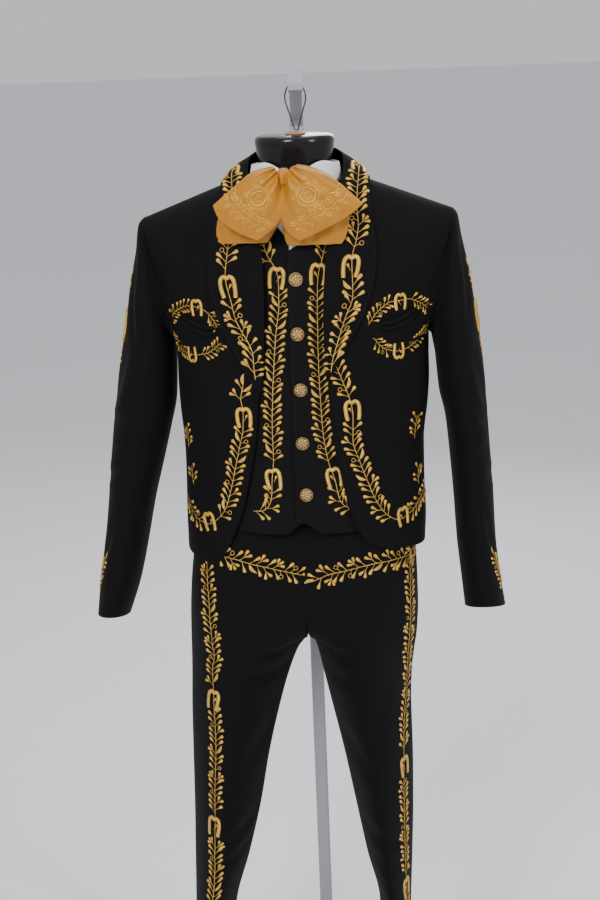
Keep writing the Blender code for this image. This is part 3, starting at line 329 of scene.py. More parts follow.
def loft(name, rings, finish, closedPath=False):
    # rings of points joined in order; the two ends are closed with fans
    rings = np.asarray(rings, float)
    count, n = rings.shape[:2]
    points = list(rings.reshape(-1, 3))
    faces = []
    last = count if closedPath else count - 1
    for i in range(last):
        for j in range(n):
            a, b = i * n + j, i * n + (j + 1) % n
            k = ((i + 1) % count) * n
            faces.append((a, b, k + (j + 1) % n, k + j))
    if not closedPath:
        for i in (0, count - 1):
            middle = len(points)
            points.append(rings[i].mean(axis=0))
            for j in range(n):
                corner = (i * n + j, i * n + (j + 1) % n, middle)
                faces.append(corner[::-1] if i == 0 else corner)
    round1, round2 = lengthsAlong(rings, 1), lengthsAlong(rings, 0)
    uv = list(np.stack([round1, round2], axis=-1).reshape(-1, 2))
    uv += [(0.0, 0.0)] * (len(points) - len(uv))
    piece = meshPiece(name, points, faces, finish, uv)
    places = np.asarray(points) - rings.mean(axis=(0, 1))
    corners = np.array([face[:3] for face in faces] + [(f[0], f[2], f[3]) for f in faces if len(f) == 4])
    a, b, c = places[corners[:, 0]], places[corners[:, 1]], places[corners[:, 2]]
    if np.sum(a * np.cross(b, c)) < 0.0:
        piece.data.flip_normals()
    return piece


def finishPiece(piece, slotName, *nodes):
    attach(piece, "root")
    if nodes:
        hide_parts(*nodes)


def clothPiece(piece, slotName, held, rests, *nodes):
    finishPiece(piece, slotName, *nodes)
    del piece["sheetWidth"], piece["sheetLength"]


# shader maths: an expression on values adds its own Math nodes
class Value:
    def __init__(self, finish, socket):
        self.finish = finish
        self.socket = socket

    def maths(self, operation, *others, swap=False):
        terms = [self, *others]
        if swap:
            terms = [*others, self]
        return self.finish.node("ShaderNodeMath", {"operation": operation}, dict(enumerate(terms))).out(0)

    def __add__(self, other):
        return self.maths("ADD", other)

    def __radd__(self, other):
        return self.maths("ADD", other)

    def __sub__(self, other):
        return self.maths("SUBTRACT", other)

    def __rsub__(self, other):
        return self.maths("SUBTRACT", other, swap=True)

    def __mul__(self, other):
        return self.maths("MULTIPLY", other)

    def __rmul__(self, other):
        return self.maths("MULTIPLY", other)

    def __truediv__(self, other):
        return self.maths("DIVIDE", other)

    def __rtruediv__(self, other):
        return self.maths("DIVIDE", other, swap=True)

    def __pow__(self, other):
        return self.maths("POWER", other)

    def sine(self):
        return self.maths("SINE")

    def size(self):
        return self.maths("ABSOLUTE")


class Node:
    def __init__(self, finish, made):
        self.finish = finish
        self.made = made

    def out(self, name):
        return Value(self.finish, self.made.outputs[name])


class Finish:
    def __init__(self, name, fixed):
        self.material = bpy.data.materials.new(name)
        self.material.use_nodes = True
        self.tree = self.material.node_tree
        self.shader = self.tree.nodes["Principled BSDF"]
        for socket, value in fixed.items():
            self.shader.inputs[socket].default_value = value

    def node(self, kind, settings=None, inputs=None):
        made = self.tree.nodes.new(kind)
        for name, value in (settings or {}).items():
            if name == "stops":
                ramp = made.color_ramp.elements
                while len(ramp) < len(value):
                    ramp.new(0.5)
                for stop, (place, colour) in zip(ramp, value):
                    stop.position = place
                    stop.color = (*colour, 1.0)
            else:
                setattr(made, name, value)
        for name, value in (inputs or {}).items():
            if isinstance(value, Value):
                self.tree.links.new(value.socket, made.inputs[name])
            elif hasattr(made.inputs[name].default_value, "__len__") and len(value) == 3:
                whole = (*value, 1.0) if len(made.inputs[name].default_value) == 4 else value
                made.inputs[name].default_value = whole
            else:
                made.inputs[name].default_value = value
        return Node(self, made)

    def feed(self, socket, value):
        self.tree.links.new(value.socket, self.shader.inputs[socket])

    def mapXY(self, layer="clothMap"):
        uv = self.node("ShaderNodeUVMap", {"uv_map": layer})
        parts = self.node("ShaderNodeSeparateXYZ", inputs={0: uv.out(0)})
        return uv.out(0), parts.out(0), parts.out(1)

    def objectPlace(self):
        return self.node("ShaderNodeTexCoord").out("Object")

    def noise(self, place, scale, detail=3.0, roughness=0.5):
        inputs = {"Vector": place, "Scale": scale, "Detail": detail, "Roughness": roughness}
        return self.node("ShaderNodeTexNoise", inputs=inputs).out(0)

    def blend(self, share, first, second):
        inputs = {0: share, 6: first, 7: second}
        return self.node("ShaderNodeMix", {"data_type": "RGBA"}, inputs).out(2)

    def bump(self, height, distance, strength=1.0):
        inputs = {"Height": height, "Distance": distance, "Strength": strength}
        self.feed("Normal", self.node("ShaderNodeBump", inputs=inputs).out(0))


woolLook = {"dark": (0.0012, 0.0011, 0.0014), "light": (0.0036, 0.0034, 0.0040), "rough": 0.86,
            "sheen": 0.022, "sheenColour": (0.50, 0.48, 0.52), "twillPitch": 0.0011, "bump": 0.00016}


def woolFinish(name, look):
    # a fine twill: slanting ribs crossed by short floats, with faint slubs
    finish = Finish(name, {"Sheen Weight": look["sheen"], "Sheen Roughness": 0.45, "Specular IOR Level": 0.12,
                           "Sheen Tint": (*look["sheenColour"], 1.0)})
    place, u, v = finish.mapXY()
    turn = 2.0 * math.pi / look["twillPitch"]
    rib = ((u + v * 0.8) * turn).sine() * 0.5 + 0.5
    floats = ((u * 0.9 - v) * (turn * 1.7)).sine() * 0.5 + 0.5
    slub = finish.noise(place, 260.0, 3.0)
    cloud = finish.noise(place, 9.0, 4.0)
    height = rib * 0.6 + floats * 0.25 + slub * 0.35
    tone = rib * 0.35 + slub * 0.35 + cloud * 0.45 - 0.10
    finish.feed("Base Color", finish.blend(tone, look["dark"], look["light"]))
    finish.feed("Roughness", cloud * 0.10 + slub * 0.08 + (look["rough"] - 0.09))
    finish.bump(height, look["bump"], 0.75)
    return finish.material


satinLook = {"deep": (0.25, 0.086, 0.001), "bright": (0.52, 0.218, 0.003), "rough": 0.44,
             "threadPitch": 0.0007, "bump": 0.00012}


def satinFinish(name, look, share=1.0):
    # a share below 1 darkens both colours, making a painted-shade copy of the satin
    # close parallel floats give satin its long soft highlights
    bright = tuple(share * part for part in look["bright"])
    deep = tuple(share * part for part in look["deep"])
    finish = Finish(name, {"Sheen Weight": 0.08, "Sheen Roughness": 0.35, "Specular IOR Level": 0.40,
                           "Sheen Tint": (1.0, 0.80, 0.45, 1.0)})
    place, u, _ = finish.mapXY()
    thread = (u * (2.0 * math.pi / look["threadPitch"])).sine() * 0.5 + 0.5
    pull = finish.noise(place, 70.0, 4.0)
    cloud = finish.noise(place, 22.0, 3.0)
    tone = thread * 0.20 + cloud * 0.7 + pull * 0.35 - 0.12
    finish.feed("Base Color", finish.blend(tone, deep, bright))
    finish.feed("Roughness", pull * 0.16 + (look["rough"] - 0.08))
    finish.bump(thread * 0.4 + pull * 1.6, look["bump"], 0.7)
    return finish.material


threadLook = {"shade": (0.22, 0.095, 0.006), "light": (0.98, 0.620, 0.100), "rough": 0.33, "pitch": 0.00055}
scrollLook = {"shade": (0.58, 0.27, 0.015), "light": (0.95, 0.56, 0.075), "rough": 0.33, "pitch": 0.00055}


def threadFinish(name, look):
    # satin stitch: threads lie across each stroke; their colour holds painted highlights in bands where they
    # catch the light, a painted highlight along each stroke's crest and painted shade down its sides
    finish = Finish(name, {"Sheen Weight": 0.06, "Sheen Roughness": 0.30, "Specular IOR Level": 0.62,
                           "Sheen Tint": (1.0, 0.80, 0.42, 1.0), "Metallic": 0.55})
    _, across, along = finish.mapXY("stitchMap")
    # painted highlight along the middle of each raised stroke, fading to painted shade at its edges
    paintedCrestLight = across * across * -55000.0 + 0.5
    thread = ((along + across * 0.25) * (2.0 * math.pi / look["pitch"])).sine() * 0.5 + 0.5
    patch = finish.noise(finish.objectPlace(), 150.0, 2.0)
    tone = thread * 0.30 + patch * 0.70 + paintedCrestLight * 0.55 - 0.22
    finish.feed("Base Color", finish.blend(tone, look["shade"], look["light"]))
    finish.feed("Roughness", patch * 0.18 + (look["rough"] - 0.09))
    finish.bump(thread, 0.00014, 0.8)
    return finish.material


def cottonFinish(name):
    finish = Finish(name, {"Sheen Weight": 0.15, "Specular IOR Level": 0.3})
    place, u, v = finish.mapXY()
    weave = (u * 9000.0).sine() * (v * 9000.0).sine() * 0.5 + 0.5
    cloud = finish.noise(place, 40.0, 4.0)
    finish.feed("Base Color", finish.blend(cloud * 0.6 + weave * 0.3, (0.60, 0.585, 0.57), (0.78, 0.77, 0.76)))
    finish.feed("Roughness", cloud * 0.1 + 0.78)
    finish.bump(weave * 0.5 + cloud, 0.00025, 0.6)
    return finish.material


def brassFinish(name):
    # old brass: bright on the raised pattern, brown in the hollows
    finish = Finish(name, {"Metallic": 1.0, "Specular IOR Level": 0.5})
    _, _, height = finish.mapXY()
    tarnish = finish.noise(finish.objectPlace(), 420.0, 4.0)
    worn = finish.node("ShaderNodeMapRange", inputs={0: height + tarnish * 0.30, 1: 0.25, 2: 0.95}).out(0)
    finish.feed("Base Color", finish.blend(worn, (0.10, 0.055, 0.018), (0.58, 0.38, 0.17)))
    finish.feed("Roughness", 0.50 - worn * 0.18)
    finish.bump(tarnish, 0.00010, 0.5)
    return finish.material


def glossFinish(name):
    finish = Finish(name, {"Specular IOR Level": 0.24, "Coat Weight": 0.05, "Coat Roughness": 0.06})
    place = finish.objectPlace()
    ripple = finish.noise(place, 14.0, 2.0)
    scuff = finish.noise(place, 190.0, 5.0, 0.65)
    finish.feed("Base Color", finish.blend(scuff, (0.004, 0.004, 0.005), (0.012, 0.012, 0.013)))
    finish.feed("Roughness", scuff * 0.16 + 0.10)
    finish.bump(ripple, 0.0012, 0.35)
    return finish.material


def paintFinish(name, low, high, rough, metallic=0.0):
    finish = Finish(name, {"Metallic": metallic, "Specular IOR Level": 0.5})
    place = finish.objectPlace()
    cloud = finish.noise(place, 6.0, 4.0)
    grain = finish.noise(place, 380.0, 3.0)
    finish.feed("Base Color", finish.blend(cloud * 0.7 + grain * 0.3, low, high))
    finish.feed("Roughness", cloud * 0.12 + (rough - 0.06))
    finish.bump(grain, 0.00012, 0.5)
    return finish.material


def woodFinish(name):
    finish = Finish(name, {"Specular IOR Level": 0.4})
    place = finish.objectPlace()
    stretched = finish.node("ShaderNodeMapping", inputs={"Vector": place, "Scale": (60.0, 900.0, 60.0)}).out(0)
    grain = finish.noise(stretched, 1.0, 4.0)
    finish.feed("Base Color", finish.blend(grain, (0.22, 0.085, 0.030), (0.50, 0.25, 0.11)))
    finish.feed("Roughness", grain * 0.2 + 0.4)
    return finish.material


wool = woolFinish("fineWool", woolLook)
vestWool = woolFinish("vestWool", dict(woolLook, dark=(0.0018, 0.0018, 0.0021),
                                       light=(0.0052, 0.0050, 0.0055)))
satin = satinFinish("bowSatin", satinLook)
# the satin again, 7% darker as painted shade, for the inner folds, the tails and the neckband that lie under
# and behind the loops
shadedSatin = satinFinish("bowShadedSatin", satinLook, 0.93)
goldThread = threadFinish("goldThread", threadLook)
scrollThread = threadFinish("scrollThread", scrollLook)
cotton = cottonFinish("shirtCotton")
brass = brassFinish("oldBrass")
gloss = glossFinish("glossForm")
standPaint = paintFinish("standPaint", (0.30, 0.31, 0.33), (0.40, 0.41, 0.43), 0.42, 0.35)
baseSteel = paintFinish("basePaint", (0.26, 0.27, 0.28), (0.36, 0.37, 0.385), 0.50, 0.35)
wireSteel = paintFinish("darkWire", (0.030, 0.030, 0.033), (0.075, 0.075, 0.08), 0.36, 0.9)
plugWood = woodFinish("plugWood")
sewingThread = paintFinish("blackThread", (0.003, 0.003, 0.0035), (0.006, 0.006, 0.0065), 0.82)
print("finishes made")


# Geometry Nodes: raised satin stitch and rows of running stitches
class Tree:
    def __init__(self, name, sizes):
        self.group = bpy.data.node_groups.new(name, "GeometryNodeTree")
        face = self.group.interface
        face.new_socket("Geometry", in_out="INPUT", socket_type="NodeSocketGeometry")
        self.inputs = {}
        for label, (kind, value) in sizes.items():
            socket = face.new_socket(label, in_out="INPUT", socket_type=kind)
            if value is not None:
                socket.default_value = value
            self.inputs[label] = socket.identifier
        face.new_socket("Geometry", in_out="OUTPUT", socket_type="NodeSocketGeometry")
        self.start = self.group.nodes.new("NodeGroupInput")
        self.end = self.group.nodes.new("NodeGroupOutput")

    def add(self, kind, settings=None, inputs=None):
        made = self.group.nodes.new(kind)
        for name, value in (settings or {}).items():
            setattr(made, name, value)
        for name, value in (inputs or {}).items():
            if isinstance(value, bpy.types.NodeSocket):
                self.group.links.new(value, made.inputs[name])
            else:
                made.inputs[name].default_value = value
        return made

    def given(self, label):
        return self.start.outputs[label]

    def named(self, attribute, kind):
        return self.add("GeometryNodeInputNamedAttribute", {"data_type": kind}, {"Name": attribute}).outputs[0]


def stitchTree():
    # sweeps a domed section along each stroke; the section grows with the stroke's half width
    tree = Tree("satinStitch", {"Dome": ("NodeSocketFloat", 0.4), "Sides": ("NodeSocketInt", 7),
                                "Thread": ("NodeSocketMaterial", None)})
    line = tree.add("GeometryNodeMeshToCurve", inputs={"Mesh": tree.start.outputs["Geometry"]})
    wide = tree.add("GeometryNodeSetCurveRadius", inputs={"Curve": line.outputs[0],
                                                         "Radius": tree.named("halfWidth", "FLOAT")})
    laid = tree.add("GeometryNodeSetCurveNormal", {"mode": "FREE"},
                    {"Curve": wide.outputs[0], "Normal": tree.named("clothNormal", "FLOAT_VECTOR")})
    along = tree.add("GeometryNodeCaptureAttribute", inputs={0: laid.outputs[0]})
    along.capture_items.new("FLOAT", "along")
    tree.group.links.new(tree.add("GeometryNodeSplineParameter").outputs["Length"], along.inputs[1])
    ring = tree.add("GeometryNodeCurvePrimitiveCircle", inputs={"Resolution": tree.given("Sides"),
                                                                "Radius": 1.0})
    size = tree.add("ShaderNodeCombineXYZ", inputs={0: tree.given("Dome"), 1: 1.0, 2: 1.0})
    section = tree.add("GeometryNodeTransform", inputs={0: ring.outputs[0], "Scale": size.outputs[0]})
    round1 = tree.add("GeometryNodeCaptureAttribute", inputs={0: section.outputs[0]})
    round1.capture_items.new("FLOAT", "across")
    place = tree.add("ShaderNodeSeparateXYZ", inputs={0: tree.add("GeometryNodeInputPosition").outputs[0]})
    tree.group.links.new(place.outputs[1], round1.inputs[1])
    swept = tree.add("GeometryNodeCurveToMesh", inputs={0: along.outputs[0], 1: round1.outputs[0],
                                                       "Scale": tree.named("halfWidth", "FLOAT"),
                                                       "Fill Caps": True})
    width = tree.add("ShaderNodeMath", {"operation": "MULTIPLY"}, {0: round1.outputs[1], 1: 0.003})
    uv = tree.add("ShaderNodeCombineXYZ", inputs={0: width.outputs[0], 1: along.outputs[1]})
    mapped = tree.add("GeometryNodeStoreNamedAttribute", {"data_type": "FLOAT2", "domain": "CORNER"},
                      {"Geometry": swept.outputs[0], "Name": "stitchMap", "Value": uv.outputs[0]})
    soft = tree.add("GeometryNodeSetShadeSmooth", inputs={0: mapped.outputs[0]})
    real = tree.add("GeometryNodeRealizeInstances", inputs={0: soft.outputs[0]})
    dressed = tree.add("GeometryNodeSetMaterial",
                       inputs={0: real.outputs[0], "Material": tree.given("Thread")})
    tree.group.links.new(dressed.outputs[0], tree.end.inputs[0])
    return tree


def runningTree():
    # short stitches, one every pitch, lying along an edge
    tree = Tree("runningStitch", {"Pitch": ("NodeSocketFloat", 0.0035), "Stitch": ("NodeSocketFloat", 0.0012),
                                  "Thread": ("NodeSocketMaterial", None)})
    line = tree.add("GeometryNodeMeshToCurve", inputs={"Mesh": tree.start.outputs["Geometry"]})
    spots = tree.add("GeometryNodeCurveToPoints", {"mode": "LENGTH"},
                     {"Curve": line.outputs[0], "Length": tree.given("Pitch")})
    ball = tree.add("GeometryNodeMeshUVSphere", inputs={"Segments": 6, "Rings": 4, "Radius": 1.0})
    thin = tree.add("ShaderNodeMath", {"operation": "MULTIPLY"}, {0: tree.given("Stitch"), 1: 0.22})
    size = tree.add("ShaderNodeCombineXYZ", inputs={0: thin.outputs[0], 1: thin.outputs[0],
                                                    2: tree.given("Stitch")})
    put = tree.add("GeometryNodeInstanceOnPoints",
                   inputs={"Points": spots.outputs["Points"], "Instance": ball.outputs[0],
                           "Rotation": spots.outputs["Rotation"], "Scale": size.outputs[0]})
    real = tree.add("GeometryNodeRealizeInstances", inputs={0: put.outputs[0]})
    dressed = tree.add("GeometryNodeSetMaterial",
                       inputs={0: real.outputs[0], "Material": tree.given("Thread")})
    tree.group.links.new(dressed.outputs[0], tree.end.inputs[0])
    return tree


satinStitch = stitchTree()
runningStitch = runningTree()


def sewn(name, tree, lines, sizes, finish):
    # lines: (points, normals, half widths); returns the sewn mesh, with its tree applied and removed
    points = np.concatenate([line[0] for line in lines]) + np.array((shiftX, 0.0, 0.0))
    edges = []
    start = 0
    for line in lines:
        count = len(line[0])
        edges += [(start + k, start + k + 1) for k in range(count - 1)]
        start += count
    mesh = bpy.data.meshes.new(name + "Lines")
    mesh.from_pydata(points.tolist(), edges, [])
    normals = np.concatenate([line[1] for line in lines]).astype(np.float32)
    widths = np.concatenate([line[2] for line in lines]).astype(np.float32)
    mesh.attributes.new("clothNormal", "FLOAT_VECTOR", "POINT").data.foreach_set("vector", normals.ravel())
    mesh.attributes.new("halfWidth", "FLOAT", "POINT").data.foreach_set("value", widths)
    guide = bpy.data.objects.new(name + "Lines", mesh)
    bpy.context.scene.collection.objects.link(guide)
    modifier = guide.modifiers.new("sewing", "NODES")
    modifier.node_group = tree.group
    for label, value in dict(sizes, Thread=finish).items():
        modifier[tree.inputs[label]] = value
    bpy.context.view_layer.update()
    evaluated = guide.evaluated_get(bpy.context.evaluated_depsgraph_get())
    made = bpy.data.meshes.new_from_object(evaluated)
    bpy.data.objects.remove(guide, do_unlink=True)
    made.name = name
    piece = bpy.data.objects.new(name, made)
    bpy.context.scene.collection.objects.link(piece)
    print(name, len(lines), "strokes", len(made.polygons), "faces")
    return piece


# drawing of the embroidery: flat strokes, laid on the cloth afterwards
class SheetMap:
    # lays a flat drawing on a sheet: q picks the row, p is the length across from a datum column
    def __init__(self, grid, normals, rows, datum):
        self.grid = grid
        self.normals = normals
        self.rows = np.asarray(rows, float)
        run = lengthsAlong(grid, 1)
        self.run = run - run[:, datum:datum + 1]

    def rowShare(self, q):
        r = np.interp(q, self.rows, np.arange(len(self.rows)))
        i = np.clip(r.astype(int), 0, len(self.rows) - 2)
        return i, (r - i)[:, None]

    def acrossFromX(self, x, q, columns=None):
        # length across to the place with that distance from the middle line
        last = columns or self.grid.shape[1]
        i, f = self.rowShare(np.atleast_1d(float(q)))
        xs = np.abs(self.grid[i[0], :last, 0] * (1.0 - f[0]) + self.grid[i[0] + 1, :last, 0] * f[0])
        run = self.run[i[0], :last] * (1.0 - f[0]) + self.run[i[0] + 1, :last] * f[0]
        return float(np.interp(x, np.maximum.accumulate(xs), run))

    def lay(self, flat, lift):
        p = flat[:, 0]
        i, f = self.rowShare(flat[:, 1])
        run = self.run[i] * (1.0 - f) + self.run[i + 1] * f
        j = np.clip((run < p[:, None]).sum(axis=1) - 1, 0, run.shape[1] - 2)
        every = np.arange(len(p))
        a, b = run[every, j], run[every, j + 1]
        g = np.clip((p - a) / np.maximum(b - a, 1e-9), 0.0, 1.0)[:, None]

        def mixed(part):
            low = part[i, j] * (1.0 - g) + part[i, j + 1] * g
            high = part[i + 1, j] * (1.0 - g) + part[i + 1, j + 1] * g
            return low * (1.0 - f) + high * f
        n = mixed(self.normals)
        n /= np.linalg.norm(n, axis=1)[:, None]
        return mixed(self.grid) + n * lift, n


stitchLook = {"stem": 0.00060, "stalk": 0.00040, "bud": (0.0104, 0.00285), "leaf": (0.0165, 0.0025),
              "ring": (0.0027, 0.00048), "reach": 0.0094, "step": 0.0110, "dome": 0.62}


def throughCurve(points, count):
    # evenly spaced places on a smooth curve through given points
    points = np.asarray(points, float)
    run = np.concatenate([[0.0], np.cumsum(np.linalg.norm(np.diff(points, axis=0), axis=1))])
    fine = throughPoints(run, points, np.linspace(0.0, run[-1], 12 * len(points)))
    run = np.concatenate([[0.0], np.cumsum(np.linalg.norm(np.diff(fine, axis=0), axis=1))])
    at = np.linspace(0.0, run[-1], count)
    return np.stack([np.interp(at, run, fine[:, k]) for k in range(2)], axis=1), run[-1]


def turned(strokes, origin, angle, size=1.0, mirror=1.0):
    # a motif drawn upwards from (0, 0), leaned clockwise by the angle and put at its place
    c, s = math.cos(angle), math.sin(angle)
    moved = []
    for points, widths in strokes:
        x, y = points[:, 0] * size * mirror, points[:, 1] * size
        moved.append((np.stack([origin[0] + x * c + y * s, origin[1] - x * s + y * c], axis=1), widths * size))
    return moved


def bud(stalk, length=None, half=None):
    # a thin stalk that swells into a teardrop, fullest near its far end
    length = length or stitchLook["bud"][0]
    half = half or stitchLook["bud"][1]
    thin = stitchLook["stalk"]
    t = np.array([0.0, 0.16, 0.34, 0.52, 0.68, 0.82, 0.92, 0.975, 1.0])
    swell = np.array([0.0, 0.22, 0.48, 0.76, 0.95, 1.0, 0.80, 0.48, 0.10])
    y = np.concatenate([[0.0, 0.5 * stalk], stalk + length * t])
    widths = np.concatenate([[thin, thin], thin + (half - thin) * swell])
    widths[-1] = 0.0002
    return [(np.stack([2.2 * y * y, y], axis=1), widths)]


def leaf(stalk):
    # two halves that meet along a vein and end in one point
    length, half = stitchLook["leaf"]
    t = np.linspace(0.0, 1.0, 9)
    strokes = []
    for side in (-1.0, 1.0):
        width = 0.5 * half * np.sin(math.pi * t ** 0.85) ** 0.9 + 0.00018
        x = side * (width - 0.00015) * 0.92 + 0.0020 * np.sin(math.pi * t)
        strokes.append((np.stack([x, stalk + length * t], axis=1), width))
    strokes.append((np.array([(0.0, 0.0), (0.0, stalk * 0.5), (0.0, stalk + 0.001)]),
                    np.full(3, stitchLook["stalk"])))
    return strokes


def ring(stalk):
    radius, half = stitchLook["ring"]
    a = np.linspace(0.0, 2.0 * math.pi, 13)
    circle = np.stack([radius * np.sin(a), stalk + radius * (1.0 - np.cos(a))], axis=1)
    return [(circle, np.full(13, half)),
            (np.array([(0.0, 0.0), (0.0, 0.5 * stalk), (0.0, stalk)]), np.full(3, stitchLook["stalk"]))]


def fork(stalk, count):
    # two or three buds on one stalk
    spread = {2: (-0.42, 0.40), 3: (-0.72, 0.0, 0.72)}[count]
    strokes = [(np.array([(0.0, 0.0), (0.0, 0.5 * stalk), (0.0, stalk)]), np.full(3, stitchLook["stalk"]))]
    for lean in spread:
        length, half = (0.0094, 0.0027) if count == 2 else (0.0084, 0.0024)
        strokes += turned(bud(0.0024, length, half), (0.0, stalk - 0.0006), lean)
    return strokes


def horseshoe():
    outline = [(-0.0088, -0.0320), (-0.0106, -0.0215), (-0.0110, -0.0110), (-0.0086, -0.0034),
               (-0.0042, -0.0012),
               (0.0, -0.0040), (0.0042, -0.0012), (0.0086, -0.0034), (0.0110, -0.0110), (0.0106, -0.0215),
               (0.0088, -0.0320)]
    points, _ = throughCurve(outline, 31)
    widths = np.full(len(points), 0.0036)
    widths[0] = widths[-1] = 0.0034
    strokes = [(points, widths)]
    strokes += turned(bud(0.0040, 0.0075, 0.0022), (0.0, -0.0215), -0.55)
    return strokes


def motif(kind, reach):
    if kind == "b":
        return bud(reach * 0.72)
    if kind == "l":
        return leaf(reach * 0.30)
    if kind == "o":
        return ring(reach * 0.70)
    return fork(reach * 0.85, 2 if kind == "p" else 3)


def vine(path, plan, size, shoes):
    # a stem with buds, forks, leaves and rings leaving it by turns on both sides
    step = stitchLook["step"] * size
    _, total = throughCurve(path, 8)
    count = max(6, int(total / 0.003))
    stem, total = throughCurve(path, count)
    widths = np.full(count, stitchLook["stem"] * (0.6 + 0.4 * size))
    widths[0] = widths[-1] = 0.0003
    strokes = [(stem, widths)]
    along = np.linspace(0.0, total, count)
    for side, kinds, start in ((-1.0, plan["left"], 0.35), (1.0, plan["right"], 0.85)):
        s = start * step
        k = 0
        while s < total - 0.4 * step:
            kind = kinds[k % len(kinds)]
            here = np.array([np.interp(s, along, stem[:, 0]), np.interp(s, along, stem[:, 1])])
            ahead = np.array([np.interp(min(s + 0.003, total), along, stem[:, 0]),
                              np.interp(min(s + 0.003, total), along, stem[:, 1])])
            behind = np.array([np.interp(max(s - 0.003, 0.0), along, stem[:, 0]),
                               np.interp(max(s - 0.003, 0.0), along, stem[:, 1])])
            way = ahead - behind
            heading = math.atan2(way[0], way[1])
            lean = {"b": 0.86, "l": 0.62, "o": 1.00, "p": 0.84, "t": 0.90}[kind] + 0.09 * math.sin(2.3 * k
                                                                                                   + side)
            clear = all(math.hypot(here[0] - cx, here[1] - cy) > 0.0235 * scale for cx, cy, scale in shoes)
            if clear:
                strokes += turned(motif(kind, stitchLook["reach"]), here, heading + side * lean, size, side)
            s += step * {"b": 0.82, "l": 1.15, "o": 0.70, "p": 1.30, "t": 1.50}[kind]
            k += 1
    if plan.get("tip", "l") == "l":
        way = stem[-1] - stem[-3]
        heading = math.atan2(way[0], way[1])
        strokes += turned(leaf(0.001), stem[-1], heading + 0.12, size)
    return strokes


plans = {
    "broad": {"left": "bbpbbbtobbl", "right": "pbbbobbtbbb"},
    "busy": {"left": "bbpbbbblbbo", "right": "bbbobbpbbbl"},
    "small": {"left": "bbbbob", "right": "bbobbb", "tip": "b"},
    "garland": {"left": "bpbobbtbl", "right": "pbtbobpb"},
}


def garland(sheet, layout, toFlat):
    # strokes of every vine and horseshoe in a layout, laid on the sheet
    drawn = []
    shoes = []
    for a, b, lean, size in layout.get("horseshoes", []):
        p, q = toFlat(a, b)
        shoes.append((p - 0.017 * size * math.sin(lean), q - 0.017 * size * math.cos(lean), size))
        drawn += turned(horseshoe(), (p, q), lean, size)
    for path, plan, size in layout.get("vines", []):
        drawn += vine([toFlat(a, b) for a, b in path], plans[plan], size, shoes)
    laid = []
    for points, widths in drawn:
        place, normals = sheet.lay(points, 0.00010)
        laid.append((place, normals, widths))
    return laid


def embroider(name, lines, slotName, finish=goldThread, dome=None):
    sizes = {"Dome": dome or stitchLook["dome"], "Sides": 6}
    piece = sewn(name, satinStitch, lines, sizes, finish)
    finishPiece(piece, slotName)
    return piece


def topStitch(name, lines, slotName):
    lines = [(points, normals, np.full(len(points), 0.0004)) for points, normals in lines]
    piece = sewn(name, runningStitch, lines, {"Pitch": 0.0036, "Stitch": 0.0012}, sewingThread)
    finishPiece(piece, slotName)


# body surface shared by jacket, vest, collar and shirt
def halfWidth(z, x, off):
    left = column(bodyTable, bodyColumns, "left", z)
    right = column(bodyTable, bodyColumns, "right", z)
    return np.where(np.asarray(x) >= 0.0, left, right) + off


def ringDepth(x, z, off, face):
    half = halfWidth(z, x, off)
    deep = column(bodyTable, bodyColumns, "front" if face < 0 else "back", z) + off
    power = column(bodyTable, bodyColumns, "power", z)
    part = np.clip(1.0 - np.abs(x / half) ** power, 0.0, 1.0)
    return deep * part ** (1.0 / power)


def lowPoint(x, z, off, face):
    return stack(x, face * (ringDepth(x, z, off, face) + seamGap), z)


def highPoint(x, angle, off, face):
    t = np.radians(angle)
    start = halfWidth(armZ, x, off)
    half = start + (topHalf + off - start) * np.sin(t)
    deep = column(bodyTable, bodyColumns, "front" if face < 0 else "back", armZ) + off
    power = float(column(bodyTable, bodyColumns, "power", armZ))
    part = np.clip(1.0 - np.abs(x / half) ** power, 0.0, 1.0) ** (1.0 / power)
    rise = neckZ - (np.abs(x) - neckX) * shoulderFall - armZ + off
    y = ridgeY * np.sin(t) + face * (deep * part * np.clip(np.cos(t), 0.0, 1.0) + seamGap)
    return stack(x, y, armZ + rise * np.sin(t))


def frontPoint(x, z, off, face=-1):
    x, z = np.broadcast_arrays(np.asarray(x, float), np.asarray(z, float))
    rise = neckZ - (np.abs(x) - neckX) * shoulderFall - armZ + off
    angle = np.degrees(np.arcsin(np.clip((z - armZ) / rise, 0.0, 1.0)))
    low = lowPoint(x, np.minimum(z, armZ), off, face)
    high = highPoint(x, angle, off, face)
    return np.where((z <= armZ)[..., None], low, high)


def napeAngle(x, radius):
    need = (np.sqrt(np.clip(radius ** 2 - x ** 2, 0.0, None)) - 0.004) / 0.117
    return np.where(x >= radius, 90.0, np.degrees(np.arccos(np.clip(need, 0.0, 1.0))))


def creased(grid, away, folds, strength=1.0):
    n = normalsOf(grid, away)
    return grid + n * (foldHeight(grid[..., 0], grid[..., 2], folds) * strength)[..., None]


def bodyMap(side, off, folds, face=-1, low=0.95, high=1.53, strength=1.0, lapped=False):
    # the body's front or back on one side as a fine sheet, for laying embroidery
    zs = np.linspace(low, high, 110)
    rows = []
    for z in zs:
        half = float(halfWidth(min(z, armZ), side, off)) + (0.035 if z > armZ else 0.0)
        x = half * np.sin(np.linspace(0.0, 0.5 * math.pi, 90))
        rows.append(frontPoint(side * x, z, off + (lapLift(x, side) if lapped else 0.0), face))
    grid = np.array(rows)
    grid = creased(grid, bodyMiddle, folds, strength)
    return SheetMap(grid, normalsOf(grid, bodyMiddle), zs, 0)


bodyMiddle = np.array((0.0, 0.0, 1.25))

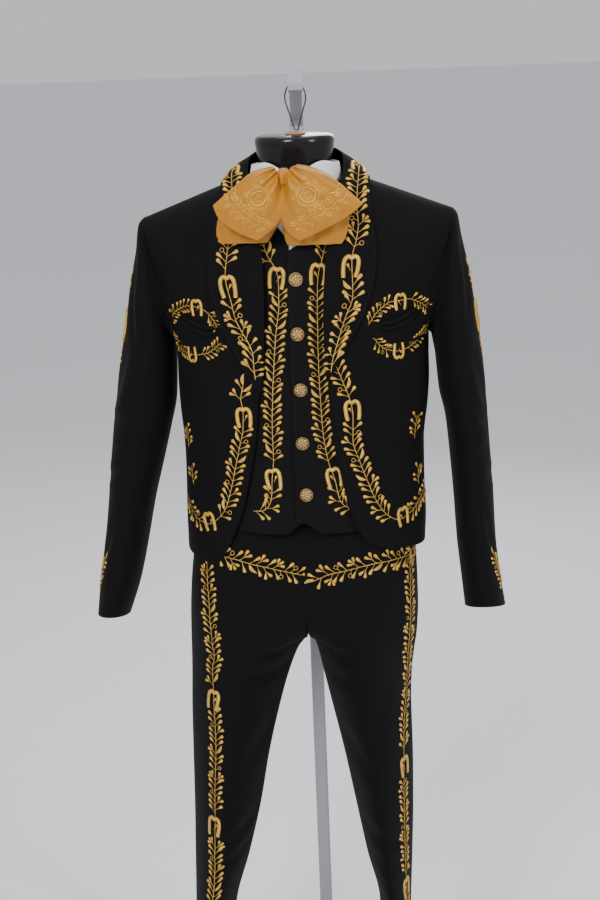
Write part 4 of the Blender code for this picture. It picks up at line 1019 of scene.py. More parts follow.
# jacket
jacketFolds = [                     # x, z to x, z, half width, height, bow
    (-0.158, 1.470, -0.178, 1.330, 0.0120, -0.0030, 0.006), (0.160, 1.460, 0.176, 1.325, 0.0110, -0.0026,
                                                             -0.005),
    (-0.182, 1.300, -0.150, 1.180, 0.0140, -0.0026, 0.004), (0.180, 1.290, 0.158, 1.190, 0.0130, -0.0022,
                                                             -0.004),
    (-0.178, 1.165, -0.120, 1.140, 0.0080, -0.0018, 0.003), (-0.176, 1.120, -0.132, 1.104, 0.0070, -0.0013,
                                                             0.002),
    (0.176, 1.160, 0.122, 1.142, 0.0080, -0.0016, -0.003), (0.172, 1.115, 0.136, 1.108, 0.0065, -0.0011, 0.0),
    (-0.130, 1.500, -0.135, 1.420, 0.0150, -0.0016, 0.0), (0.140, 1.500, 0.143, 1.430, 0.0140, -0.0014, 0.0),
    (-0.112, 1.290, -0.128, 1.210, 0.0110, -0.0014, 0.002), (0.108, 1.280, 0.126, 1.205, 0.0110, -0.0012,
                                                             -0.002),
    (-0.150, 1.060, -0.140, 0.985, 0.0120, -0.0016, 0.0), (0.155, 1.070, 0.150, 1.000, 0.0120, -0.0014, 0.0),
]
jacketBackFolds = [
    (-0.150, 1.460, -0.165, 1.320, 0.0130, -0.0032, 0.005), (0.152, 1.455, 0.160, 1.330, 0.0120, -0.0028,
                                                             -0.004),
    (-0.030, 1.470, -0.120, 1.430, 0.0100, -0.0018, 0.004), (0.036, 1.462, 0.112, 1.430, 0.0090, -0.0015,
                                                             -0.003),
    (-0.160, 1.210, -0.060, 1.165, 0.0090, -0.0022, 0.006), (-0.150, 1.160, -0.080, 1.135, 0.0075, -0.0016,
                                                             0.004),
    (0.160, 1.200, 0.070, 1.168, 0.0090, -0.0020, -0.006), (0.150, 1.150, 0.090, 1.140, 0.0070, -0.0014, 0.0),
    (-0.060, 1.110, -0.066, 0.990, 0.0120, -0.0018, 0.002), (0.070, 1.105, 0.080, 0.990, 0.0110, -0.0016, 0.0),
]


def jacketHem(u, side):
    roundPart = np.clip(1.0 - u / 0.42, 0.0, 1.0)
    rise = cornerRise * (1.0 - np.sqrt(1.0 - roundPart ** 2))
    return hemZ[side] + (backHemZ - hemZ[side]) * u ** 3 + rise


def jacketFrontGrid(side, across, low, high):
    name = sideWords[side]
    shawl = shawlTables[side]
    u = np.sin(0.5 * math.pi * np.linspace(0.0, 1.0, across))
    rows = []
    bottom = jacketHem(u, side)
    for share in np.linspace(0.0, 1.0, low):
        z = bottom + (armZ - bottom) * share
        inner = column(frontEdge, edgeColumns, name, z)
        outer = halfWidth(z, side, 0.0)
        rows.append(lowPoint(side * (inner + (outer - inner) * u), z, 0.0, -1))
    start = float(column(frontEdge, edgeColumns, name, armZ))
    for angle in np.linspace(0.0, 90.0, high)[1:]:
        zHere = armZ + (neckZ - armZ) * math.sin(math.radians(angle))
        rolled = float(throughPoints([r[1] for r in shawl], [r[0] for r in shawl], zHere)) + 0.004
        inner = start + (rolled - start) * float(smoothStep(angle / 20.0))
        inner += (0.0745 - inner) * float(smoothStep((angle - 60.0) / 30.0))
        outer = float(column(armholeTable, armholeColumns, "front", angle))
        rows.append(highPoint(side * (inner + (outer - inner) * u), angle, 0.0, -1))
    return np.array(rows)


def jacketBackGrid(side, across, low, high):
    u = np.linspace(0.0, 1.0, across) ** 0.9
    rows = []
    for share in np.linspace(0.0, 1.0, low):
        z = backHemZ + (armZ - backHemZ) * share
        outer = halfWidth(z, side, 0.0)
        rows.append(lowPoint(side * (seamGap + (outer - seamGap) * u), z, 0.0, 1))
    top = napeAngle(u * 0.205, napeRadius)
    for share in np.linspace(0.0, 1.0, high)[1:]:
        angle = top * share
        outer = column(armholeTable, armholeColumns, "back", angle)
        rows.append(highPoint(side * (seamGap + (outer - seamGap) * u), angle, 0.0, 1))
    return np.array(rows)


jacketLayouts = {
    -1: {"vines": [
            ([(0.1810, 1.0700), (0.1720, 1.0500), (0.1600, 1.0410), (0.1473, 1.0385), (0.1335, 1.0470),
              (0.1180, 1.0660), (0.1083, 1.0955), (0.1007, 1.1264), (0.0911, 1.1654), (0.0853, 1.1887),
              (0.0836, 1.2192), (0.0860, 1.2342), (0.0816, 1.2560)], "busy", 1.04),
            ([(0.1900, 1.3400), (0.1746, 1.3625), (0.1551, 1.3700), (0.1371, 1.3660), (0.1240, 1.3550),
              (0.1150, 1.3400)], "small", 0.74),
            ([(0.1885, 1.3297), (0.1779, 1.3080), (0.1577, 1.2970), (0.1351, 1.3005), (0.1110, 1.3176)],
             "small", 0.74),
            ([(0.1745, 1.1480), (0.1740, 1.1650), (0.1760, 1.1830)], "small", 0.92),
            ([(0.1690, 1.0930), (0.1700, 1.1070), (0.1720, 1.1200)], "small", 0.92)],
         "horseshoes": [(0.0836, 1.2225, 0.05, 0.92), (0.1475, 1.0560, 0.25, 0.86),
                        (0.1460, 1.3790, 0.05, 0.72), (0.1560, 1.2860, math.pi + 0.1, 0.70)]},
    1: {"vines": [
            ([(0.1800, 1.0760), (0.1700, 1.0590), (0.1588, 1.0470), (0.1404, 1.0400), (0.1227, 1.0503),
              (0.1056, 1.0756), (0.0946, 1.1040), (0.0837, 1.1353), (0.0745, 1.1698), (0.0757, 1.2079),
              (0.0720, 1.2307), (0.0615, 1.2610), (0.0535, 1.2830)], "busy", 1.04),
            ([(0.1010, 1.3380), (0.1155, 1.3570), (0.1357, 1.3690), (0.1587, 1.3700), (0.1750, 1.3630),
              (0.1890, 1.3500)], "small", 0.74),
            ([(0.1080, 1.3189), (0.1241, 1.3015), (0.1456, 1.2960), (0.1678, 1.3040), (0.1870, 1.3218)],
             "small", 0.74),
            ([(0.1650, 1.1560), (0.1660, 1.1740), (0.1700, 1.1930)], "small", 0.95),
            ([(0.1700, 1.0830), (0.1690, 1.0980), (0.1720, 1.1130)], "small", 0.95)],
        "horseshoes": [(0.0745, 1.2300, -0.05, 0.92), (0.1440, 1.0570, -0.15, 0.86),
                       (0.1480, 1.3790, 0.0, 0.72), (0.1440, 1.2850, math.pi, 0.70)]},
}
backLayout = {"vines": [([(0.0110, 1.0180), (0.0450, 1.0120), (0.0850, 1.0160), (0.1250, 1.0130),
                          (0.1560, 1.0170),
                          (0.1760, 1.0230)], "busy", 0.80),
                        ([(0.0060, 1.3600), (0.0200, 1.3900), (0.0340, 1.4120), (0.0560, 1.4250)], "busy",
                         0.90),
                        ([(0.0060, 1.3500), (0.0250, 1.3420), (0.0450, 1.3460), (0.0640, 1.3600)], "busy",
                         0.90)],
              "horseshoes": [(0.0160, 1.3900, 0.35, 0.95)]}


def makeJacket():
    for side, word in sideWords.items():
        grid = creased(jacketFrontGrid(side, 66, 74, 60), bodyMiddle, jacketFolds)
        piece = shell("cloth_jacket_front_" + word, grid, wool, bodyMiddle)
        clothPiece(piece, "wool_cloth", "hung", ["form_torso"], "jacket_front_" + word)
        sheet = bodyMap(side, 0.0, jacketFolds)
        lines = garland(sheet, jacketLayouts[side], lambda x, z: (sheet.acrossFromX(x, z), z))
        embroider("embroidery_jacket_front_" + word, lines, "wool_cloth")
        n = normalsOf(grid, bodyMiddle)
        topStitch("topstitch_jacket_" + word, [(grid[:60, 3] + n[:60, 3] * 0.0001, n[:60, 3])], "wool_cloth")

        grid = creased(jacketBackGrid(side, 56, 60, 56), bodyMiddle, jacketBackFolds)
        piece = shell("cloth_jacket_back_" + word, grid, wool, bodyMiddle)
        clothPiece(piece, "wool_cloth", "hung", ["form_torso"], "jacket_back_" + word)
        back = bodyMap(side, 0.0, jacketBackFolds, 1)
        lines = garland(back, backLayout, lambda x, z: (back.acrossFromX(x, z), z))
        embroider("embroidery_jacket_back_" + word, lines, "wool_cloth")


# sleeves
sleeveFolds = {                     # length round from the outer line (front positive), length down
    -1: [(0.030, 0.060, 0.080, 0.170, 0.0110, -0.0030, 0.006), (-0.040, 0.060, -0.090, 0.180, 0.0120,
                                                                -0.0030, 0.0),
         (0.020, 0.305, 0.085, 0.270, 0.0085, -0.0034, 0.004), (0.030, 0.345, 0.100, 0.325, 0.0080, -0.0030,
                                                                0.005),
         (0.010, 0.390, 0.075, 0.365, 0.0075, -0.0022, 0.003), (-0.090, 0.300, -0.020, 0.330, 0.0090,
                                                                -0.0026, -0.005),
         (-0.080, 0.360, -0.030, 0.345, 0.0080, -0.0020, 0.0), (0.060, 0.180, 0.020, 0.280, 0.0120, -0.0024,
                                                                0.0),
         (0.085, 0.440, 0.040, 0.540, 0.0100, -0.0020, 0.004), (-0.060, 0.440, -0.030, 0.560, 0.0100,
                                                                -0.0018, 0.0)],
    1: [(0.026, 0.055, 0.074, 0.160, 0.0110, -0.0028, 0.005), (-0.036, 0.060, -0.085, 0.170, 0.0120, -0.0030,
                                                               0.0),
        (0.015, 0.312, 0.080, 0.285, 0.0085, -0.0032, 0.004), (0.040, 0.352, 0.100, 0.340, 0.0080, -0.0026,
                                                               0.003),
        (-0.085, 0.310, -0.015, 0.335, 0.0090, -0.0026, -0.004), (0.070, 0.190, 0.035, 0.285, 0.0120,
                                                                  -0.0024, 0.0),
        (0.000, 0.400, 0.060, 0.380, 0.0080, -0.0018, 0.003), (0.080, 0.430, 0.045, 0.530, 0.0100, -0.0020,
                                                               0.0),
        (-0.070, 0.380, -0.035, 0.370, 0.0080, -0.0020, 0.0), (-0.055, 0.450, -0.030, 0.560, 0.0100, -0.0016,
                                                               0.0)],
}


def armholeRing(turns, side):
    t = np.radians(turns)
    angle = 90.0 * (0.5 + 0.5 * np.cos(t))
    front = np.sin(t) >= 0.0
    points = []
    for a, isFront in zip(angle, front):
        face = -1 if isFront else 1
        x = float(column(armholeTable, armholeColumns, "front" if isFront else "back", a))
        points.append(highPoint(side * x, a, 0.0, face) + np.array((side * 0.0012, 0.0, 0.0)))
    return np.array(points)


def sleeveGrid(side, turns, rows):
    table = sleeveTables[side]
    v = {name: np.array([row[k] for row in table])[:, None] for k, name in enumerate(sleeveColumns)}
    t = np.radians(turns)[None, :]
    c = np.sign(np.cos(t)) * np.abs(np.cos(t)) ** (2.0 / v["power"])
    s = np.sign(np.sin(t)) * np.abs(np.sin(t)) ** (2.0 / v["power"])
    x = 0.5 * (v["outerX"] + v["innerX"]) + 0.5 * (v["outerX"] - v["innerX"]) * c
    z = 0.5 * (v["outerZ"] + v["innerZ"]) + 0.5 * (v["outerZ"] - v["innerZ"]) * c
    rings = stack(side * x, v["midY"] - v["half"] * s, z + v["lift"] * s)
    rings = np.concatenate([armholeRing(turns, side)[None], rings])
    flat = rings.reshape(len(rings), -1)
    grid = throughPoints(np.arange(len(rings)), flat, rows).reshape(len(rows), len(turns), 3)
    round1 = np.radians(turns)[None, :] * 0.066
    down = lengthsAlong(grid, 0).mean(axis=1)[:, None]
    middle = grid.mean(axis=1, keepdims=True)
    n = normalsOf(grid, middle)
    fade = smoothStep(down / 0.03) * smoothStep((down[-1] - down) / 0.02)
    grid = grid + n * (foldHeight(round1, down, sleeveFolds[side]) * fade)[..., None]
    return grid, down[:, 0]


sleeveLayouts = {                   # degrees round from the outer line, length down the sleeve
    -1: {"vines": [([(22.0, 0.235), (22.0, 0.200), (23.0, 0.160), (24.0, 0.105)], "busy", 0.85),
                   ([(16.0, 0.592), (24.0, 0.570), (34.0, 0.545), (38.0, 0.528)], "broad", 0.90)],
         "horseshoes": [(23.0, 0.150, 0.0, 1.25)]},
    1: {"vines": [([(20.0, 0.235), (20.0, 0.200), (21.0, 0.160), (22.0, 0.105)], "busy", 0.85),
                  ([(18.0, 0.592), (28.0, 0.570), (38.0, 0.545), (42.0, 0.528)], "broad", 0.90)],
        "horseshoes": [(21.0, 0.150, 0.0, 1.25)]},
}


def makeSleeves():
    frontSeam, hindSeam = sleeveSeams
    slot = 0.25
    rows = np.linspace(0.0, len(sleeveTables[1]), 104)
    for side, word in sideWords.items():
        for part, turns in (("upper", np.linspace(-frontSeam + slot, frontSeam - slot, 78)),
                            ("under", np.linspace(frontSeam + slot, hindSeam - slot, 56))):
            grid, _ = sleeveGrid(side, turns, rows)
            whole, _ = sleeveGrid(side, np.linspace(0.0, 350.0, 36), rows)
            middle = whole.mean(axis=1, keepdims=True)
            name = "sleeve_" + part + "_" + word
            piece = shell("cloth_" + name, grid, wool, middle)
            clothPiece(piece, "wool_cloth", "hung", ["form_torso"], name + "_arm", name + "_forearm")
        turns = np.linspace(-80.0, 90.0, 120)
        grid, down = sleeveGrid(side, turns, rows)
        whole, _ = sleeveGrid(side, np.linspace(0.0, 350.0, 36), rows)
        n = normalsOf(grid, whole.mean(axis=1, keepdims=True))
        flipped = SheetMap(grid[::-1], n[::-1], -down[::-1], int(np.argmin(np.abs(turns))))
        lines = garland(flipped, sleeveLayouts[side], lambda a, b: (math.radians(a) * 0.066, -b))
        embroider("embroidery_sleeve_" + word, lines, "wool_cloth")


# shawl collar
collarLayouts = {                   # length across from the middle, row of the collar's table
    -1: {"vines": [([(-0.002, 0.45), (-0.007, 1.3), (-0.0095, 1.7), (-0.0064, 2.2), (0.0, 2.7), (0.0054, 3.3),
                     (0.007, 4.0), (0.012, 5.2), (0.009, 6.1), (0.007, 6.7), (0.003, 8.0), (0.0, 9.5),
                     (-0.001, 11.0),
                     (0.002, 12.0), (0.004, 13.0), (0.004, 14.0), (0.004, 14.85)], "broad", 1.14)],
         "horseshoes": [(0.0105, 5.25, 0.08, 0.98), (0.0, 10.75, 0.0, 0.90)]},
    1: {"vines": [([(-0.001, 0.35), (-0.004, 1.1), (-0.003, 2.0), (0.0, 3.05), (0.006, 4.0), (0.003, 4.75),
                    (-0.001, 5.95), (0.005, 6.75), (0.007, 7.4), (0.003, 8.5), (0.0, 10.0), (0.002, 11.0),
                    (0.002, 12.0), (0.004, 13.0), (0.004, 14.0), (0.004, 14.85)], "broad", 1.14)],
        "horseshoes": [(-0.001, 6.05, 0.05, 0.98), (0.0, 10.75, 0.0, 0.90)]},
}


def collarGrid(side, shares, count):
    table = shawlTables[side]
    rows = []
    bulge = 0.0022 * np.sin(math.pi * shares)
    for k, (rollX, rollZ, edgeX, edgeZ) in enumerate(table):
        x = rollX + (edgeX - rollX) * shares
        z = rollZ + (edgeZ - rollZ) * shares
        nearNeck = float(smoothStep((k - len(table) + 4) / 4.0)) * 0.004
        off = collarOff + bulge + (0.0025 + nearNeck) * (1.0 - shares)
        rows.append(np.array([frontPoint(side * a, b, float(c)) for a, b, c in zip(x, z, off)]))
    for r in shawlNeck:
        start, end = np.array((side * r[0], r[1], r[2])), np.array((side * r[3], r[4], r[5]))
        p = start + (end - start) * shares[:, None]
        arch = np.sin(math.pi * shares)
        p[:, 2] += 0.006 * arch
        p[:, 0] += side * 0.003 * arch * min(1.0, abs(r[0]) / 0.05)
        p[:, 1] += 0.004 * arch * float(smoothStep(r[1] / 0.05))
        rows.append(p)
    coarse = np.array(rows)
    at = np.linspace(0.0, len(rows) - 1, count)
    grid = throughPoints(np.arange(len(rows)), coarse.reshape(len(rows), -1), at)
    return grid.reshape(count, len(shares), 3), at


def makeCollar():
    shares = np.linspace(0.0, 1.0, 34)
    for side, word in sideWords.items():
        grid, at = collarGrid(side, shares, 150)
        away = np.array((0.0, 0.02, 1.36)) + np.zeros_like(grid)
        away[..., 2] = np.minimum(grid[..., 2] - 0.02, 1.50)
        n = normalsOf(grid, away)
        curl = []                   # the roll turns under along its inner edge
        outward = grid[:, 0] - grid[:, 1]
        outward /= np.linalg.norm(outward, axis=1)[:, None]
        for angle in (100.0, 65.0, 30.0):
            a = math.radians(angle)
            curl.append(grid[:, 0] + outward * 0.0016 * math.sin(a) - n[:, 0] * 0.0016 * (1.0 - math.cos(a)))
        rolled = np.concatenate([np.stack(curl, axis=1), grid], axis=1)
        piece = shell("cloth_collar_" + word, rolled, wool, away[:, :1])
        clothPiece(piece, "wool_cloth", "hung", ["cloth_jacket_front_" + word], "collar_" + word)
        down = lengthsAlong(grid, 0)[:, 17]
        sheet = SheetMap(grid, n, down, 17)
        lines = garland(sheet, collarLayouts[side], lambda p, k: (p, float(np.interp(k, at, down))))
        embroider("embroidery_collar_" + word, lines, "wool_cloth")
        topStitch("topstitch_collar_" + word, [(grid[:, -3] + n[:, -3] * 0.0001, n[:, -3])], "wool_cloth")


# breast pockets
pocketLine = [(0.117, 1.3355), (0.132, 1.3355), (0.147, 1.3390), (0.161, 1.3455), (0.1735, 1.3550)]


def makePockets():
    for side, word in sideWords.items():
        for part, shift in (("upper", 0.0042), ("lower", -0.0042)):
            rings = []
            for t in np.linspace(0.0, 1.0, 44):
                x, z = throughPoints([0, 1, 2, 3, 4], pocketLine, 4.0 * t)
                fat = math.sqrt(max(0.0, 1.0 - abs(2.0 * t - 1.0) ** 3.2)) * 0.96 + 0.04
                ring = []
                for a in np.linspace(0.0, 2.0 * math.pi, 15)[:-1]:
                    high, out = 0.0038 * math.cos(a), 0.0019 + 0.0019 * math.sin(a)
                    ring.append(frontPoint(side * x, z + shift * (0.55 + 0.45 * fat) + high * fat,
                                           0.0010 + out * fat))
                rings.append(ring)
            piece = loft("cloth_pocket_welt_" + part + "_" + word, rings, wool)
            finishPiece(piece, "wool_cloth", "pocket_welt_" + part + "_" + word)


# vest
vestFolds = [
    (-0.100, 1.240, -0.020, 1.215, 0.0080, -0.0016, 0.003), (0.095, 1.230, 0.018, 1.212, 0.0080, -0.0014,
                                                             -0.003),
    (-0.090, 1.150, -0.030, 1.130, 0.0070, -0.0012, 0.002), (0.085, 1.145, 0.028, 1.128, 0.0070, -0.0012,
                                                             -0.002),
    (-0.020, 1.370, -0.060, 1.340, 0.0080, -0.0010, 0.0), (0.018, 1.365, 0.055, 1.340, 0.0080, -0.0010, 0.0),
    (-0.025, 1.300, -0.026, 1.255, 0.0060, -0.0010, 0.0), (0.022, 1.180, 0.024, 1.110, 0.0060, -0.0008, 0.0),
]
vestLayouts = {
    -1: {"vines": [([(0.0760, 1.0640), (0.0640, 1.0640), (0.0540, 1.0700), (0.0480, 1.0850), (0.0462, 1.1111),
                     (0.0430, 1.1413), (0.0425, 1.1875), (0.0400, 1.2330),
                     (0.0350, 1.2930), (0.0324, 1.3194), (0.0288, 1.3452), (0.0253, 1.3706), (0.0250, 1.4041),
                     (0.0289, 1.4208), (0.0389, 1.4374), (0.0454, 1.4539), (0.0550, 1.4800)], "busy", 1.02)],
         "horseshoes": [(0.0262, 1.4225, -0.10, 0.92), (0.0462, 1.1270, 0.15, 0.90)]},
    1: {"vines": [([(0.0720, 1.0640), (0.0620, 1.0680), (0.0530, 1.0780), (0.0463, 1.1090), (0.0370, 1.1395),
                    (0.0310, 1.1859), (0.0295, 1.2313),
                    (0.0285, 1.2684), (0.0285, 1.3048), (0.0290, 1.3479), (0.0300, 1.3873), (0.0320, 1.4108),
                    (0.0370, 1.4286), (0.0430, 1.4500), (0.0540, 1.4800)], "busy", 1.02)],
        "horseshoes": [(0.0330, 1.4260, 0.10, 0.92), (0.0430, 1.1270, -0.15, 0.90)]},
}


def lapLift(x, side):
    return 0.0 if side < 0 else 0.0026 * (1.0 - smoothStep((x - 0.012) / 0.020))


def vestFrontGrid(side, across, low, high):
    start = -vestLap if side > 0 else 0.0100
    u = np.linspace(0.0, 1.0, across) ** 1.15
    rows = []
    for share in np.linspace(0.0, 1.0, low):
        outer = float(halfWidth(armZ, side, vestOff)) - 0.0005
        bottom = pairs(vestLow, start + (outer - start) * u)
        z = bottom + (armZ - bottom) * share
        x = start + (halfWidth(z, side, vestOff) - start) * u
        p = lowPoint(np.abs(x), z, vestOff + lapLift(x, side), -1)
        rows.append(stack(side * x, p[..., 1], z))
    for angle in np.linspace(0.0, 90.0, high)[1:]:
        zHere = armZ + (neckZ - armZ) * math.sin(math.radians(angle))
        inner = max(start, float(pairs(vestNeck, zHere))) if zHere > 1.432 else start
        x = inner + (float(pairs(vestArm, angle)) - inner) * u
        p = highPoint(np.abs(x), angle, vestOff + lapLift(x, side), -1)
        rows.append(stack(side * x, p[..., 1], p[..., 2]))
    return np.array(rows)


def vestBackGrid(across, low, high):
    u = np.linspace(-1.0, 1.0, across)
    rows = []
    for share in np.linspace(0.0, 1.0, low):
        z = 1.064 + (armZ - 1.064) * share
        rows.append(lowPoint(halfWidth(z, u, vestOff) * u, z, vestOff, 1))
    top = napeAngle(np.abs(u) * 0.152, napeRadius + 0.001)
    for share in np.linspace(0.0, 1.0, high)[1:]:
        rows.append(highPoint(pairs(vestArm, top * share) * u, top * share, vestOff, 1))
    return np.array(rows)


def makeVest():
    for side, word in sideWords.items():
        grid = creased(vestFrontGrid(side, 60, 56, 52), bodyMiddle, vestFolds, 0.8)
        piece = shell("cloth_vest_front_" + word, grid, vestWool, bodyMiddle)
        clothPiece(piece, "vest_cloth", "hung", ["form_torso"], "vest_front_" + word)
        sheet = bodyMap(side, vestOff, vestFolds, -1, 1.03, 1.53, 0.8, True)
        lines = garland(sheet, vestLayouts[side], lambda x, z: (sheet.acrossFromX(x, z), z))
        embroider("embroidery_vest_" + word, lines, "vest_cloth")
        if side > 0:
            n = normalsOf(grid, bodyMiddle)
            topStitch("topstitch_vest", [(grid[2:90, 2] + n[2:90, 2] * 0.0001, n[2:90, 2])], "vest_cloth")
    grid = vestBackGrid(84, 40, 40)
    piece = shell("cloth_vest_back", grid, vestWool, bodyMiddle)
    clothPiece(piece, "vest_cloth", "hung", ["form_torso"], "vest_back")


# vest buttons
buttonPlaces = [(0.000, 1.406), (0.000, 1.329), (0.0015, 1.248), (0.001, 1.167), (0.004, 1.089)]
buttonLook = {"radius": 0.0100, "petals": 8, "turn": 0.3}
buttonProfile = [(0.0, 0.00420), (0.10, 0.00440), (0.18, 0.00380), (0.30, 0.00385), (0.45, 0.00360),
                 (0.60, 0.00300),
                 (0.74, 0.00240), (0.80, 0.00175), (0.84, 0.00180), (0.88, 0.00235), (0.94, 0.00235),
                 (0.985, 0.00190),
                 (1.0, 0.00110), (0.97, 0.00040), (0.80, 0.0)]


def makeButtons():
    shares = np.array([r[0] for r in buttonProfile])
    heights = np.array([r[1] for r in buttonProfile])
    fine = np.linspace(0, len(shares) - 1, 46)
    radius = np.interp(fine, np.arange(len(shares)), shares)
    height = np.interp(fine, np.arange(len(shares)), heights)
    turns = np.linspace(0.0, 2.0 * math.pi, 73)[:-1]
    for k, (x, z) in enumerate(buttonPlaces):
        off = vestOff + 0.0032
        base, below, above = (frontPoint(x, z + d, off) for d in (0.0, -0.008, 0.008))
        up = (above - below) / np.linalg.norm(above - below)
        right = np.array((1.0, 0.0, 0.0))
        out = np.cross(right, up)
        rings, levels = [], []
        for i, (r, h) in enumerate(zip(radius, height)):
            carved = np.zeros_like(turns)
            if fine[i] < 7.0:
                leaves = np.cos(buttonLook["petals"] * turns + 9.0 * r + buttonLook["turn"])
                carved = 0.00060 * np.exp(-((r - 0.56) / 0.16) ** 2) * leaves
                carved += 0.00040 * np.exp(-((r - 0.28) / 0.08) ** 2) * np.cos(5.0 * turns - 6.0 * r)
                carved += 0.00022 * np.cos(46.0 * r) * np.cos(3.0 * turns)
            if 8.5 < fine[i] < 10.5:
                carved = 0.00016 * np.sin(32.0 * turns)
            levels.append(0.48 + carved / 0.0011 - (0.42 if 6.5 < fine[i] < 8.6 or fine[i] > 12.0 else 0.0))
            r = max(r, 0.004) * buttonLook["radius"]
            rings.append(base + np.outer(np.cos(turns) * r, right) + np.outer(np.sin(turns) * r, up)
                         + np.outer(h + carved, out))
        name = "brass_button_%d" % (k + 1)
        piece = loft(name, np.array(rings), brass)
        level = np.append(np.concatenate(levels), (0.5, 0.1))
        layer = piece.data.uv_layers["clothMap"]
        for loop in piece.data.loops:
            layer.data[loop.index].uv = (0.0, min(1.0, max(0.0, level[loop.vertex_index])))
        finishPiece(piece, "button_brass", "vest_button_%d" % (k + 1))


# shirt
shirtRing = (0.0600, 0.0590, -0.001)
shirtRows = [(1.395, 0.030), (1.420, 0.036), (1.445, 0.042), (1.470, 0.047), (1.495, 0.050), (1.512, 0.048)]


def neckRing(turns, grow, z):
    t = np.radians(turns)
    half, deep, mid = shirtRing
    return stack((half + grow) * np.sin(t), mid - (deep + grow) * np.cos(t), z)


def standZ(turns):
    # the stand dips at the throat and its wings stand up on either side of it
    t = np.minimum(turns, 360.0 - turns)
    return 0.0055 * np.exp(-((t - 44.0) / 20.0) ** 2) - 0.016 * np.exp(-(t / 18.0) ** 2)


def makeShirt():
    neckMiddle = np.array((0.0, 0.0, 1.545))
    turns = np.linspace(2.0, 358.0, 140)
    grid = np.array([neckRing(turns, 0.0, z + standZ(turns)) for z in np.linspace(1.532, 1.560, 14)])
    piece = shell("cloth_shirt_stand", grid, cotton, neckMiddle)
    clothPiece(piece, "shirt_cotton", "hung", ["form_torso"], "shirt_collar_stand")
    for side, word in sideWords.items():
        turns = np.linspace(6.0, 179.5, 110)
        tip = smoothStep(1.0 - (turns - 6.0) / 60.0)
        rows = []
        for share in np.linspace(0.0, 1.0, 22):
            fall = 0.026 + 0.016 * tip
            spread = 0.0022 + 0.0022 * share + 0.007 * tip * share
            bow = 0.0012 * math.sin(math.pi * share) + 0.0004 * np.sin(turns * 0.11) * share
            rows.append(neckRing(side * turns, spread + wallThick + bow,
                                 1.5605 + standZ(turns) * 0.9 - fall * share))
        grid = np.array(rows)
        piece = shell("cloth_shirt_collar_" + word, grid, cotton, neckMiddle)
        clothPiece(piece, "shirt_cotton", "folded", ["cloth_shirt_stand"], "shirt_collar_" + word)
        n = normalsOf(grid, neckMiddle)
        lines = [(grid[-4, 4:-4] + n[-4, 4:-4] * 0.0001, n[-4, 4:-4])]
        piece = sewn("topstitch_shirt_" + word, runningStitch,
                     [(p, m, np.full(len(p), 0.0003)) for p, m in lines], {"Pitch": 0.003, "Stitch": 0.001},
                     cotton)
        finishPiece(piece, "shirt_cotton")
    zs = np.linspace(shirtRows[0][0], shirtRows[-1][0], 40)
    grid = np.array([frontPoint(np.linspace(-1.0, 1.0, 46) * float(pairs(shirtRows, z)), z, shirtOff)
                     for z in zs])
    grid[..., 1] -= 0.0012 * np.exp(-(np.abs(grid[..., 0] - 0.004) / 0.007) ** 4)
    piece = shell("cloth_shirt_front", grid, cotton, bodyMiddle)
    clothPiece(piece, "shirt_cotton", "hung", ["form_torso"], "shirt_front")


# bow
bowY = -0.124
bowKnot = (-0.0095, 1.5530)
bowLobes = {
    1: {"gather": [(0.0060, 1.5675), (-0.0010, 1.5630), (-0.0060, 1.5480)],
        "upper": [(0.0060, 1.5675), (0.0370, 1.5605), (0.0646, 1.5430), (0.0987, 1.5117)],
        "inner": [(-0.0060, 1.5480), (-0.0165, 1.5300), (-0.0185, 1.5070), (-0.0105, 1.4800),
                  (0.0085, 1.4627)],
        "fold": [(0.0987, 1.5117), (0.0784, 1.4957), (0.0425, 1.4770), (0.0085, 1.4627)]},
    -1: {"gather": [(-0.0220, 1.5660), (-0.0180, 1.5600), (-0.0145, 1.5450)],
         "upper": [(-0.0220, 1.5660), (-0.0520, 1.5600), (-0.0743, 1.5447), (-0.1104, 1.5156)],
         "inner": [(-0.0145, 1.5450), (-0.0070, 1.5300), (-0.0085, 1.5070), (-0.0240, 1.4840),
                   (-0.0504, 1.4654)],
         "fold": [(-0.1104, 1.5156), (-0.1015, 1.4954), (-0.0762, 1.4762), (-0.0504, 1.4654)]},
}
bowTails = {
    1: [(1.5200, 0.0420, -0.0060), (1.4906, 0.0776, -0.0160), (1.4644, 0.0725, -0.0125),
        (1.4550, 0.0660, -0.0090)],
    -1: [(1.5200, -0.0640, -0.0180), (1.4919, -0.1064, -0.0185), (1.4733, -0.1090, -0.0290),
         (1.4600, -0.1030, -0.0380)],
}
bowLook = {"pleats": 3.5, "pleatDepth": 0.0040, "folds": 0.0044, "dome": 0.020, "scrollHalf": 0.00085}


def alongCurve(points, t):
    points = np.asarray(points, float)
    last = len(points) - 1
    place = np.clip(t, 0.0, 1.0) * last
    k = np.minimum(place.astype(int), last - 1)
    f = (place - k)[..., None]
    a, b = points[np.maximum(k - 1, 0)], points[k]
    c, d = points[k + 1], points[np.minimum(k + 2, last)]
    return 0.5 * (2 * b + (c - a) * f + (2 * a - 5 * b + 4 * c - d) * f ** 2 + (3 * b - a - 3 * c + d)
                  * f ** 3)


